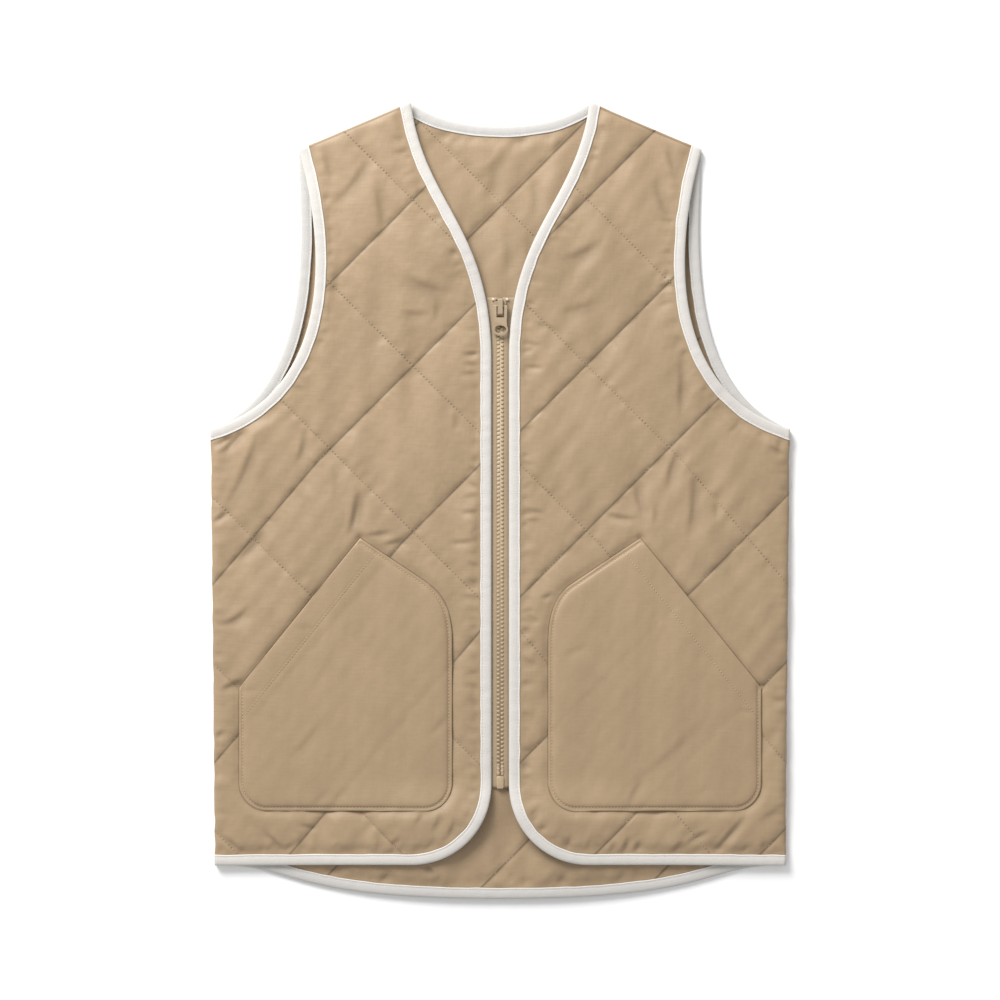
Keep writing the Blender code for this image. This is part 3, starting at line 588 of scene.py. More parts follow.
def front_height(path):
    """Height of a front's bound edge, which rides up over the zip and stands up at the armhole."""
    out, up = np.abs(path[:, 0]), path[:, 1]
    (low, low_end), (high, high_end) = ARMHOLE_LIFT_ENDS
    beside_armhole = ease(low, low_end, up) * (1.0 - ease(high, high_end, up))
    at_armhole = ARMHOLE_LIFT * beside_armhole * ease(*ARMHOLE_LIFT_OUT, out)
    over_zip = ZIP_LIFT * (1.0 - ease(*ZIP_LIFT_REACH, out))
    return FRONT_EDGE_MID + front_lift(path) + over_zip + at_armhole


def back_height(path):
    """Height of the back's bound edges, which curl up at the hem."""
    return BACK_EDGE_MID + hem_lift(path)


class BoundEdge:
    """A finished edge with, at each point, the direction into the panel, its height and its run."""

    def __init__(self, points, mids, turn, seam_before, seam_after):
        self.points, self.mids, self.run = points, mids, runs(points)
        along = unit(np.gradient(points, self.run, axis=0))
        square = turn * np.stack([-along[:, 1], along[:, 0]], axis=1)
        start, end = self.run[:, None], self.run[-1] - self.run[:, None]
        seam = np.where(start < end, unit(seam_before), unit(seam_after))
        share = 1.0 - ease(SEAM_SQUARE, SEAM_REACH, np.minimum(start, end))
        lean = square + (seam - square) * share
        self.inward = lean / (lean * square).sum(axis=1, keepdims=True)

    def inside(self, distance):
        """The edge's points moved into the panel."""
        return self.points + self.inward * distance


def bound_ring(paths, height):
    """Bound edges of a panel, given in order round it with a straight seam between each."""
    turn = np.sign(signed_area(np.concatenate(paths)))
    edges = []
    for index, path in enumerate(paths):
        before = paths[index - 1][-1] - path[0]
        after = paths[(index + 1) % len(paths)][0] - path[-1]
        edges.append(BoundEdge(path, height(path), turn, before, after))
    return edges


# Unevenness of the cloth


def ripples(places, seed, length, first, last, count=10):
    """Soft unevenness of unit size: sine waves with random headings, lengths and starts, summed."""
    draw = np.random.default_rng(seed)
    heading = np.radians(draw.uniform(first, last, count))
    size = 2.0 * np.pi / (length * draw.uniform(*RIPPLE_SPREAD, count))
    start = draw.uniform(0.0, 2.0 * np.pi, count)
    waves = np.stack([np.cos(heading), np.sin(heading)]) * size
    return np.sin(places @ waves + start).sum(axis=1) / math.sqrt(count / 2.0)


def gathers(run, seed, shortest=6.0, longest=24.0, count=7):
    """Uneven gathers of about unit size along a seam: sine waves that each come and go."""
    draw = np.random.default_rng(seed)
    size = 2.0 * np.pi / draw.uniform(shortest, longest, count)
    fade = 2.0 * np.pi / draw.uniform(*GATHER_FADE, count)
    start, fade_start = draw.uniform(0.0, 2.0 * np.pi, (2, count))
    strength = np.sin(run[:, None] * fade + fade_start) ** 4
    waves = np.sin(run[:, None] * size + start) * strength
    return waves.sum(axis=1) / math.sqrt(count * GATHER_MEAN)


def varied(run, seed, amount, shortest, longest):
    """Gathers of a given amount."""
    return amount * gathers(run, seed, shortest, longest)


def creases(places, table):
    """Soft troughs: a bell across each crease, steep on its upper left and gentle on the other side.

    Along it the bell fades as a power of 1 - share ** 2, and a faint ridge lies on either side.
    """
    total = np.zeros(len(places))
    for x, y, heading, length, width, height, bend in table:
        width = width * CREASE_WIDTH
        reach = length / 2.0 + 5.0 * width + abs(bend)
        near = np.flatnonzero(np.abs(places - (x, y)).max(axis=1) < reach)
        from_x, from_y = (places[near] - (x, y)).T
        cosine, sine = math.cos(math.radians(heading)), math.sin(math.radians(heading))
        along = (from_x * cosine + from_y * sine) / (length / 2.0)
        across = from_y * cosine - from_x * sine - bend * along ** 2
        across *= np.sign(sine + cosine)
        across = across / (width * np.where(across > 0.0, *CREASE_SIDES))
        bell = np.exp(-across ** 2) - CREASE_RIDGE * np.exp(-(np.abs(across) - 2.0) ** 2)
        total[near] += height * bell * np.clip(1.0 - along ** 2, 0.0, None) ** CREASE_ENDS
    return total


def edge_puckers(edges, seed):
    """Rows like those of the crease tables: short puckers that run in from the bindings."""
    draw = np.random.default_rng(seed)
    rows = []
    for edge in edges:
        at = np.cumsum(draw.uniform(*PUCKER_STEP, int(edge.run[-1] / PUCKER_STEP[0])))
        at = at[at < edge.run[-1] - PUCKER_STEP[1]]
        points, inward = (np.stack([np.interp(at, edge.run, column) for column in table.T], axis=1)
                          for table in (edge.points, edge.inward))
        length = draw.uniform(*PUCKER_LENGTH, len(at))
        middle = points + unit(inward) * (BINDING_WIDTH + PUCKER_SET_IN * length)[:, None]
        square = np.degrees(np.arctan2(inward[:, 1], inward[:, 0]))
        heading = square + draw.normal(PUCKER_LEAN, PUCKER_SLANT, len(at))
        width = draw.uniform(*PUCKER_WIDTH, len(at))
        depth = draw.uniform(*PUCKER_DEPTH, len(at))
        bend = draw.normal(0.0, PUCKER_BEND, len(at))
        rows.append(np.column_stack([middle, heading, length, width, -depth, bend]))
    return np.concatenate(rows)


# Meshes


def add_piece(name, points, faces, material, stands_for=(), body="vest", marks=None):
    """Makes one closed piece from points in millimetres and arrays of faces of equal side counts."""
    corners = np.concatenate([rows.ravel() for rows in faces]).astype(np.int32)
    sides = np.concatenate([np.full(len(rows), rows.shape[1]) for rows in faces])
    mesh = bpy.data.meshes.new(name)
    mesh.vertices.add(len(points))
    mesh.vertices.foreach_set("co", (points * MM).astype(np.float32).ravel())
    mesh.loops.add(len(corners))
    mesh.loops.foreach_set("vertex_index", corners)
    mesh.polygons.add(len(sides))
    mesh.polygons.foreach_set("loop_start", (np.cumsum(sides) - sides).astype(np.int32))
    mesh.update(calc_edges=True)
    mesh.shade_smooth()
    for label, values in (marks or {}).items():
        kind = "FLOAT" if values.ndim == 1 else "FLOAT_VECTOR"
        layer = mesh.attributes.new(label, kind, "POINT")
        layer.data.foreach_set("value" if values.ndim == 1 else "vector",
                               values.astype(np.float32).ravel())
    mesh.materials.append(material)
    piece = bpy.data.objects.new(name, mesh)
    bpy.context.scene.collection.objects.link(piece)
    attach(piece, body)
    if stands_for:
        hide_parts(*stands_for)
    return piece


def grid_faces(rows, columns, wrap=False):
    """Four-sided faces of a grid of points, numbered row by row; wrap closes each row."""
    number = np.arange(rows * columns).reshape(rows, columns)
    if wrap:
        number = np.concatenate([number, number[:, :1]], axis=1)
    return np.stack([number[:-1, :-1], number[:-1, 1:], number[1:, 1:], number[1:, :-1]],
                    axis=-1).reshape(-1, 4)


def end_fans(rings, sides):
    """Triangles that close both ends of a tube of rings at two points numbered after them."""
    ring = np.arange(sides)
    later = np.roll(ring, -1)
    far = (rings - 1) * sides
    first, last = (np.full(sides, rings * sides + end) for end in (0, 1))
    return np.concatenate([np.column_stack([later, ring, first]),
                           np.column_stack([ring + far, later + far, last])])


def cut_net(outline, panel, step):
    """Slanting net, cut to an outline: its nodes, its cells and the sides of its rim.

    Node (i, j) lies i steps across the rising stitch lines and j steps across the falling ones,
    so threads of the net run along every stitch line.  Cells with their middle inside the
    outline stay, and the nodes round the cut are moved onto the outline.
    """
    across = across_lines(outline, panel) / step
    low, high = np.floor(across.min(axis=0)) - 2, np.ceil(across.max(axis=0)) + 3
    i, j = np.meshgrid(np.arange(low[0], high[0]), np.arange(low[1], high[1]), indexing="ij")
    nodes = place_across(np.stack([i, j], axis=-1) * step, panel)
    number = np.arange(i.size).reshape(i.shape)
    cells = np.stack([number[:-1, :-1], number[1:, :-1], number[1:, 1:], number[:-1, 1:]], axis=-1)
    middles = (nodes[:-1, :-1] + nodes[1:, 1:]) / 2.0
    cells, nodes = cells.reshape(-1, 4), nodes.reshape(-1, 2)
    cells = cells[inside(middles.reshape(-1, 2), outline)]
    for _ in range(3):
        cells = cells[(~once(cells)).sum(axis=1) > 1]
    used, cells = np.unique(cells, return_inverse=True)
    nodes, cells = nodes[used], cells.reshape(-1, 4)
    rim = np.stack([cells, np.roll(cells, -1, axis=1)], axis=-1)[once(cells)]
    on_rim = np.unique(rim)
    nodes[on_rim] = nearest(nodes[on_rim], closed(outline))[2]
    return nodes, cells, rim


def once(cells):
    """For each side of each cell, True where no other cell has that side."""
    ends = np.stack([cells, np.roll(cells, -1, axis=1)], axis=-1)
    keys = ends.min(axis=-1) * (cells.max() + 1) + ends.max(axis=-1)
    _, back, count = np.unique(keys, return_inverse=True, return_counts=True)
    return count[back].reshape(cells.shape) == 1


def lean(turned, panel):
    """How far the stitch lines of each family have moved: on one a straight slope from its start."""
    moved = np.zeros_like(turned)
    if panel == "right":
        moved[..., 0] = LEAN_SLOPE * np.clip(-turned[..., 1] - LEAN_START, 0.0, None)
    if panel == "left":
        moved[..., 1] = -LEAN_SLOPE * np.clip(turned[..., 0] - LEAN_START, 0.0, None)
    return moved


def across_lines(places, panel):
    """Distances of places across the first rising and the first falling stitch line of a panel."""
    x, y = places[..., 0], places[..., 1]
    turned = np.stack([x - y, x + y], axis=-1) * DIAGONAL
    return turned - lean(turned, panel) - np.multiply(QUILT_PHASE[panel], DIAGONAL)


def place_across(across, panel):
    """Places from distances across the first rising and the first falling stitch line of a panel."""
    turned = across + np.multiply(QUILT_PHASE[panel], DIAGONAL)
    turned = turned + lean(turned, panel)
    rising, falling = turned[..., 0], turned[..., 1]
    return np.stack([rising + falling, falling - rising], axis=-1) * DIAGONAL


# Quilted panels


def drawn_in(places):
    """Places beside the side seams, moved inwards by uneven amounts, as the seam draws them in."""
    out, up = np.abs(places[:, 0]), places[:, 1]
    from_seam = nearest(np.column_stack([out, up]), np.array([UNDERARM, SIDE_HEM]))[0]
    run = up * np.where(places[:, 0] > 0, 1.0, SIDE_DRAW_OTHER)
    waves = SIDE_DRAW_USUAL + gathers(run, SEEDS["side_draw"], *SIDE_DRAW_WAVES)
    amount = SIDE_DRAW * np.clip(waves, 0.0, None) * np.exp(-from_seam / SIDE_DRAW_REACH)
    amount *= ease(0.0, SIDE_DRAW_ENDS, np.minimum(UNDERARM[1] - up, up - SIDE_HEM[1]))
    return np.column_stack([places[:, 0] - np.sign(places[:, 0]) * amount, up])


class QuiltedPanel:
    """A quilted panel: its bound edges, seams, stitch lines and creases, and its two faces."""

    def __init__(self, name, edges, low, round_upper, pocket=None):
        self.name, self.edges, self.low = name, edges, low
        self.round_upper, self.pocket = round_upper, pocket
        self.seed = sorted(QUILT_PHASE).index(name)
        self.outline = np.concatenate([edge.inside(CUT_EDGE) for edge in edges])
        self.seams = [np.array([edge.points[-1], later.points[0]])
                      for edge, later in zip(edges, edges[1:] + edges[:1])]
        self.puckers = edge_puckers(edges, SEEDS["puckers"] + self.seed)

    def nearest_edge(self, places):
        """Distance to the nearest bound edge, the run along it and its height there."""
        found = [nearest(places, edge.points)[:2] for edge in self.edges]
        gaps = np.stack([gap for gap, _ in found])
        best = gaps.argmin(axis=0)[None]
        shifted = np.stack([run + EDGE_SHIFT * index for index, (_, run) in enumerate(found)])
        mids = np.stack([np.interp(run, edge.run, edge.mids)
                         for edge, (_, run) in zip(self.edges, found)])
        return [np.take_along_axis(rows, best, axis=0)[0] for rows in (gaps, shifted, mids)]

    def shoulder_line(self, places):
        """Distance below the line of the shoulder seam, drawn as painted shade on the fronts only."""
        if not self.round_upper:
            return np.full(len(places), QUILT_PITCH)
        return nearest(places, self.seams[-1])[0] - SHOULDER_LINE

    def seam_gap(self, places):
        """Distance to the nearest seam."""
        return np.min([nearest(places, seam)[0] for seam in self.seams], axis=0)

    def stitch_lines(self, places):
        """Signed distances to the nearest rising and falling stitch line, and runs along them."""
        across = across_lines(places, self.name)
        line = np.round(across / QUILT_PITCH)
        gap = across - line * QUILT_PITCH
        return gap, across[:, ::-1] + LINE_SHIFT * line + LINE_SIDE_SHIFT * (gap > 0.0)

    def folds(self, places):
        """Listed creases and puckers beside the bindings."""
        return CREASE_DEPTH * creases(places, CREASES[self.name]) + creases(places, self.puckers)

    def unevenness(self, places, off, run, seam, gap, along):
        """Folds, ripples, and gathers along every seam and stitch line."""
        total = self.folds(places)
        for index, (length, height, first, last) in enumerate(PAD_RIPPLES):
            total += height * ripples(places, 10 * self.seed + index, length, first, last)
        for family in (0, 1):
            reach = np.abs(gap[:, family])
            fade = np.exp(-reach / STITCH_GATHER_REACH) * (1.0 - np.exp(-reach / STITCH_GATHER_START))
            total += STITCH_GATHER * fade * gathers(along[:, family], SEEDS["stitch_gather"] + family)
        beside = np.clip(off - BINDING_WIDTH, 0.0, None)
        by_edge = gathers(run, SEEDS["edge_gather"] + self.seed)
        by_seam = gathers(places[:, 1], SEEDS["seam_gather"] + self.seed)
        total += EDGE_GATHER * np.exp(-beside / EDGE_GATHER_REACH) * by_edge
        total += SEAM_GATHER * np.exp(-seam / SEAM_GATHER_REACH) * by_seam
        return total

    def ended(self, places):
        """True where falling lines have ended, low on the back."""
        return (places[:, 1] < BACK_FALLING_UP) & (self.name == "back")

    def sewn(self, places, gap, along):
        """Nearness to a stitch line, 1 on it, a little more or less from place to place."""
        pads = np.ones(len(gap))
        usual, varies = STITCH_STRENGTH
        for family in (0, 1):
            reach = np.abs(gap[:, family])
            steep, gentle = (sum(share * np.exp(-reach / length) for share, length in dips)
                             for dips in (STEEP_DIPS, GENTLE_DIPS))
            dip = np.where((family == 0) & (gap[:, family] > 0.0), gentle, steep)
            waves = gathers(along[:, family], SEEDS["stitch_strength"] + family, *STITCH_STRENGTH_WAVES)
            strength = np.clip(usual + varies * waves, *STITCH_STRENGTH_ENDS)
            strength = np.where((family == 1) & self.ended(places), 0.0, strength)
            pads *= 1.0 - STITCH_DEPTHS[family] * dip * strength
        return 1.0 - pads

    def heights(self, places, relief=1.0):
        """Lower and upper height, and nearness to a stitch; relief is the share of dips that shows.

        The quilt is thin along its stitch lines and rises from them as 1 - exp(-distance), with
        a sine crown in the middle of each pad.  It is pressed flat inside the bindings, rounds
        off like a quarter circle at the seams, and has its folds and ripples added on top.
        """
        off, run, mid = self.nearest_edge(places)
        seam = self.seam_gap(places)
        gap, along = self.stitch_lines(places)
        sewn = self.sewn(places, gap, along)
        crown = np.prod(np.sin(np.pi * np.abs(gap) / QUILT_PITCH), axis=1)
        full = 1.0 - relief * sewn
        thick = STITCHED + full * (QUILT - STITCHED) + relief * CROWN * crown
        round_off = np.sqrt(1.0 - (1.0 - np.clip(seam / SEAM_ROUND, 0.0, 1.0)) ** 2)
        round_off = SEAM_SHARE + (1.0 - SEAM_SHARE) * round_off
        uneven = relief * self.unevenness(places, off, run, seam, gap, along)
        uneven *= ease(BINDING_WIDTH, BINDING_WIDTH + PUCKER_START, off) * round_off
        under = self.low + UNDER_LIFT * (1.0 - full)
        if self.round_upper:
            under += front_lift(places)
            upper = under + thick * round_off
        else:
            upper = under + thick
            under = upper - thick * round_off
            upper += hem_lift(places) - back_sink(places)
            under += hem_lift(places)
        if self.pocket:
            upper -= self.pocket.pull_down(places, relief)
        bound = ease(PRESSED_ROW, FULL_ROW, off)
        under = mid - PRESSED_EDGE / 2 + (under - mid + PRESSED_EDGE / 2) * bound
        upper = mid + PRESSED_EDGE / 2 + (upper - mid - PRESSED_EDGE / 2) * bound + uneven
        if not self.round_upper:
            sink = armhole_sink(places, off)
            under = np.maximum(under - ARMHOLE_SINK_UNDER * sink, BACK_LOW)
            upper = upper - sink
        return under, np.maximum(upper, under + LEAST_QUILT), sewn

    def make(self, name, node, material):
        """Panel as a closed shell: the net at both heights, joined round its rim."""
        places, cells, rim = cut_net(self.outline, self.name, QUILT_PITCH / NET_PER_PAD[self.name])
        places = drawn_in(places)
        under, upper, sewn = self.heights(places)
        # Distances to the stitch lines and the shoulder line, darkened in the material as painted shade
        lines = np.column_stack([self.stitch_lines(places)[0], self.shoulder_line(places)])
        lines[self.ended(places), 1] = QUILT_PITCH
        if self.pocket:
            depth = self.pocket.depth(places)
            upper -= POCKET_ROOM * ease(0.0, POCKET_ROOM_REACH, depth)
            upper = np.maximum(upper, under + LEAST_QUILT)
            lines[depth > 0.0, :2] = QUILT_PITCH
            # Distance to the pocket's edge, darkened in the material as painted contact shadow
            lines[:, 2] = np.where(np.abs(depth) < np.abs(lines[:, 2]), depth, lines[:, 2])
        # Depth of the folds, darkened in the material as painted shade
        fold = np.clip(-self.folds(places) / FULL_FOLD, 0.0, 1.0) ** FOLD_SHARPNESS
        count = len(places)
        points = np.concatenate([raised(places, upper), raised(places, under)])
        walls = np.column_stack([rim[:, 1], rim[:, 0], rim[:, 0] + count, rim[:, 1] + count])
        # The sewn mark darkens the cloth beside the stitch lines as painted shade
        piece = add_piece(name, points, [cells, cells[:, ::-1] + count, walls], material,
                          [node], marks={"sewn": np.concatenate([sewn, sewn]),
                                         "fold": np.concatenate([fold, 0.0 * fold]),
                                         "quilting": np.concatenate([lines, lines]) * MM})
        return piece

    def quilting_ends(self):
        """Both ends of every quilting stitch clear of edges and pocket, and how deep it is sunk."""
        pitch, length, _ = QUILTING_STITCH
        count = int(QUILT_REACH / QUILT_PITCH)
        stitches = int(QUILT_REACH / pitch)
        line, run = (rows.ravel() for rows in np.meshgrid(
            np.arange(-count, count + 1) * QUILT_PITCH, np.arange(-stitches, stitches + 1) * pitch))
        start = np.multiply(QUILT_PHASE[self.name], DIAGONAL)
        ends = []
        for shift in (-length / 2.0, length / 2.0):
            rising = np.column_stack([line, run + shift - start[1]])
            falling = np.column_stack([run + shift - start[0], line])
            ends.append(place_across(np.concatenate([rising, falling]), self.name))
        sunk = np.repeat([RISING_SUNK, 0.0], len(line))
        middle = (ends[0] + ends[1]) / 2.0
        kept = np.flatnonzero(inside(middle, self.outline) & ~(self.ended(middle) & (sunk == 0.0)))
        middle = middle[kept]
        clear = self.nearest_edge(middle)[0] > BINDING_WIDTH + CLEAR_OF_BINDING
        clear &= self.seam_gap(middle) > CLEAR_OF_SEAM
        if self.pocket:
            clear &= self.pocket.depth(middle) < -CLEAR_OF_POCKET
        kept = kept[clear]
        return ends[0][kept], ends[1][kept], sunk[kept]


# Patch pockets


class PatchPocket:
    """Outline of a patch pocket and the heights of its cloth."""

    def __init__(self, side):
        corner, low = POCKET_CORNER, POCKET_BOTTOM_UP
        outer = arc((POCKET_OUTER_OUT - corner, low + corner), corner, 0.0, -90.0)
        inner = arc((POCKET_INNER_OUT + corner, low + corner), corner, -90.0, -180.0)
        slope = unit(np.subtract(POCKET_SHOULDER, POCKET_APEX))
        bend = pulled_curve((POCKET_INNER_OUT, POCKET_BEND_END_UP), POCKET_SHOULDER,
                            ((0.0, POCKET_BEND_PULL[0]), slope * POCKET_BEND_PULL[1]))
        sewn = np.concatenate([[POCKET_OPENING_END], outer, inner, bend, [POCKET_APEX]])
        opening = np.array([POCKET_APEX, POCKET_OPENING_END])
        self.sewn = stepped(sewn, POCKET_STEP) * (side, 1)
        self.opening = stepped(opening, POCKET_STEP) * (side, 1)
        self.outline = np.concatenate([self.opening[:-1], self.sewn[:-1]])
        run = unit(self.opening[-1] - self.opening[0])
        self.from_opening = side * np.array([run[1], -run[0]])

    def depth(self, places):
        """Distance inside the pocket's edge, negative outside it."""
        distance = nearest(places, closed(self.outline))[0]
        return np.where(inside(places, self.outline), distance, -distance)

    def hem_gap(self, places):
        """Distance from the line of the pocket's opening, towards its bottom."""
        return (places - self.opening[0]) @ self.from_opening

    def pull_down(self, places, relief):
        """How far the stitches round the pocket pull the quilt down: a bell across its edge."""
        near_sewn = nearest(places, self.sewn)[0]
        near_opening = nearest(places, self.opening)[0]
        return (POCKET_PULL_DOWN * np.exp(-(near_sewn / POCKET_PULL_REACH) ** 2)
                + relief * POCKET_DITCH * np.exp(-(near_sewn / OPENING_SAG_REACH) ** 2)
                + relief * OPENING_SAG * np.exp(-(near_opening / OPENING_SAG_REACH) ** 2))

    def upper(self, places, panel):
        """Height of the pocket's face: the quilt softened, plus cloth, hem and stitch grooves."""
        base = panel.heights(places, POCKET_RELIEF)[1] + GAP
        edge = nearest(places, closed(self.outline))[0]
        near_sewn = nearest(places, self.sewn)[0]
        opening = self.hem_gap(places)
        round_edge = np.sqrt(1.0 - (1.0 - np.clip(edge / POCKET_EDGE_ROUND, 0.0, 1.0)) ** 2)
        before, after = POCKET_HEM_FADE
        hem = POCKET_HEM_RISE * (1.0 - ease(POCKET_HEM_WIDTH - before, POCKET_HEM_WIDTH + after, opening))
        groove = 0.0
        for gap, (deep, reach) in ((near_sewn - POCKET_TOPSTITCH, POCKET_GROOVE),
                                   (opening - POCKET_HEM_WIDTH, POCKET_HEM_GROOVE)):
            groove = groove + deep * np.exp(-(gap / reach) ** 2)
        high, reach = POCKET_GATHER
        soft = high * gathers(places @ POCKET_GATHER_RUN, SEEDS["pocket_gather"])
        soft *= np.exp(-near_sewn / reach)
        for index, (length, height, first, last) in enumerate(POCKET_RIPPLES):
            soft += height * ripples(places, SEEDS["pocket_ripples"] + index, length, first, last)
        soft += creases(places, POCKET_CREASES[panel.name])
        cloth = (POCKET_CLOTH - POCKET_EDGE_CLOTH + hem + soft) * round_edge
        return base + POCKET_EDGE_CLOTH + cloth - groove

    def make(self, name, node, panel, material):
        """Both faces as rows of the outline's shape, each smaller, that close in on its middle."""
        turn = np.sign(signed_area(self.outline))
        middle = self.outline.mean(axis=0)
        outer = np.array(POCKET_ROWS) / POCKET_HALF
        shares = np.concatenate([outer, np.linspace(outer[-1], 1.0, POCKET_EVEN_ROWS)[1:-1]])
        rows = [self.outline + (middle - self.outline) * share for share in shares]
        face = np.concatenate(rows + [middle[None]])
        around = len(self.outline)
        upper = self.upper(face, panel)
        lower = np.minimum(panel.heights(face, POCKET_RELIEF)[1] + GAP, upper - POCKET_LEAST)
        points = np.concatenate([raised(face, upper), raised(face, lower)])
        shift = len(face)
        sheet = grid_faces(len(rows), around, wrap=True)
        ring = np.arange(around)
        later = np.roll(ring, -1)
        wall = np.column_stack([ring, ring + shift, later + shift, later])
        last = (len(rows) - 1) * around
        fan = np.column_stack([ring + last, later + last, np.full(around, shift - 1)])
        faces = [sheet, sheet[:, ::-1] + shift, wall, fan, fan[:, ::-1] + shift]
        if turn < 0:
            faces = [rows[:, ::-1] for rows in faces]
        piece = add_piece(name, points, faces, material, [node])
        return piece

    def stitch_ends(self, panel):
        """Both ends of the stitches round the sewn edge and along the opening's hem."""
        turn = np.sign(signed_area(self.outline))
        along = unit(np.gradient(self.sewn, runs(self.sewn), axis=0))
        beside = self.sewn + turn * POCKET_TOPSTITCH * np.stack([-along[:, 1], along[:, 0]], axis=1)
        span = self.opening[-1] - self.opening[0]
        start = self.opening[0] + POCKET_HEM_WIDTH * self.from_opening
        line = start + np.array([-0.5 * span, 1.5 * span])   # runs on past both ends, cut below
        ends = [stitch_ends(path[self.depth(path) > 0.9 * POCKET_TOPSTITCH], POCKET_STITCH)
                for path in (beside, stepped(line, POCKET_STEP))]
        first, last = (np.concatenate(pair) for pair in zip(*ends))
        return raised(first, self.upper(first, panel)), raised(last, self.upper(last, panel))


# Bound edges


def bind(name, node, edge, seed, material):
    """Folded binding: its section carried along a bound edge, a little wider and fuller in places."""
    outside = np.array(BINDING_OUTSIDE)
    inner = np.array(BINDING_INSIDE)
    section = np.concatenate([outside, outside[-2::-1] * (1, -1), inner[::-1] * (1, -1), inner])
    run = edge.run
    wide = 1.0 + varied(run, SEEDS["binding_wider"] + seed, *BINDING_WIDER)
    fuller = 1.0 + varied(run, SEEDS["binding_fuller"] + seed, *BINDING_FULLER)
    sway = varied(run, SEEDS["binding_sway"] + seed, *BINDING_SWAY)
    inward = section[:, 0] * wide[:, None] + sway[:, None] * (section[:, 0] > SWAY_INSIDE)
    rise = section[:, 1] * np.where(np.abs(section[:, 1]) > FULLER_ABOVE, fuller[:, None], 1.0)
    flat = edge.points[:, None] + edge.inward[:, None] * inward[..., None]
    points = np.concatenate([flat, (edge.mids[:, None] + rise)[..., None]], axis=-1).reshape(-1, 3)
    rows, columns = inward.shape
    along = np.broadcast_to(run[:, None], inward.shape).ravel()
    across = np.broadcast_to(runs(section)[None], inward.shape).ravel()
    # Where the lip is painted paler, a painted highlight
    lip = np.broadcast_to(ease(*BINDING_LIP_HIGHLIGHT, section[:, 0]), inward.shape).ravel()
    turn = np.sign(np.cross(np.append(edge.points[1] - edge.points[0], 0.0),
                            np.append(edge.inward[0], 0.0))[2])
    faces = strip_faces(rows, columns)
    if turn > 0:
        faces = [cells[:, ::-1] for cells in faces]
    piece = add_piece(name, points, faces, material, [node],
                      marks={"weave": np.column_stack([along, across, 0.0 * along]) * MM, "lip": lip})
    return piece


def binding_stitch_ends(edge):
    """Both ends of the stitches in the groove beside a binding's lip."""
    distance, rise = STITCH_INSIDE
    path = np.column_stack([edge.inside(distance), edge.mids + rise])
    return stitch_ends(path, BINDING_STITCH)


# Stitches


def stitch_ends(path, stitch):
    """Both ends of stitches at an even pitch along a path."""
    pitch, length, _ = stitch
    run = runs(path)
    middles = np.arange(pitch, run[-1] - pitch, pitch)
    at = [np.stack([np.interp(middles + shift, run, column) for column in path.T], axis=1)
          for shift in (-length / 2.0, length / 2.0)]
    return at[0], at[1]


def raised(places, heights):
    """Flat places with their heights as a third column."""
    return np.column_stack([places, heights])


def sew(name, first, last, thickness, material, slot, up=1.0):
    """Joined stitches: between each pair of ends a five-sided bead that swells and sinks in."""
    place, swell = np.array(BEAD_RINGS).T
    turn = np.arange(BEAD_SIDES) * 2.0 * np.pi / BEAD_SIDES
    lift = BEAD_LIFT * (1.0 - place ** 2)[:, None]
    bead = np.stack([np.repeat(place, BEAD_SIDES), (swell[:, None] * np.cos(turn)).ravel(),
                     (swell[:, None] * np.sin(turn) + lift).ravel()], axis=1)
    bead = np.concatenate([bead, [[-1.0, 0.0, -BEAD_SINK], [1.0, 0.0, -BEAD_SINK]]])
    tube = grid_faces(len(place), BEAD_SIDES, wrap=True)
    fans = end_fans(len(place), BEAD_SIDES)
    half = (last - first) / 2.0
    across = unit(np.cross(half, (0.0, 0.0, up)))
    above = unit(np.cross(across, half))
    middle = (first + last)[:, None] / 2.0
    radius = thickness / 2.0
    points = (middle + bead[:, :1] * half[:, None] + bead[:, 1:2] * radius * across[:, None]
              + bead[:, 2:] * radius * above[:, None]).reshape(-1, 3)
    shift = (np.arange(len(first)) * len(bead))[:, None, None]
    faces = [(rows[None] + shift).reshape(-1, rows.shape[1]) for rows in (tube, fans)]
    return add_piece(name, points, faces, material)


# Zip


def rounded_block(half, roundness, around=8, levels=5):
    """Block with soft edges: a sphere's sines and cosines raised to a power below 1."""
    def soft(value):
        return np.sign(value) * np.abs(value) ** roundness
    turn = (np.arange(around) + 0.5) * 2.0 * np.pi / around
    tilt = np.linspace(-0.5, 0.5, levels + 2)[1:-1, None] * np.pi
    flat = soft(np.cos(tilt))
    points = np.stack([flat * soft(np.cos(turn)), flat * soft(np.sin(turn)),
                       soft(np.sin(tilt)) + 0.0 * turn], axis=-1).reshape(-1, 3)
    points = np.concatenate([points, [[0.0, 0.0, -1.0], [0.0, 0.0, 1.0]]]) * half
    return points, [grid_faces(levels, around, wrap=True), end_fans(levels, around)]


def copies(shape, places):
    """A shape's points and faces repeated at each place."""
    points, faces = shape
    shift = (np.arange(len(places)) * len(points))[:, None, None]
    moved = (np.asarray(places)[:, None] + points).reshape(-1, 3)
    return moved, [(rows[None] + shift).reshape(-1, rows.shape[1]) for rows in faces]


def joined(*shapes):
    """Several shapes' points and faces as one."""
    points, faces, shift = [], [], 0
    for shape_points, shape_faces in shapes:
        points.append(shape_points)
        faces += [rows + shift for rows in shape_faces]
        shift += len(shape_points)
    return np.concatenate(points), faces


def strip_faces(rows, columns):
    """Faces of a closed section carried along a strip, with both ends capped."""
    caps = np.arange(columns)[None]
    return [grid_faces(rows, columns, wrap=True), caps[:, ::-1], caps + (rows - 1) * columns]


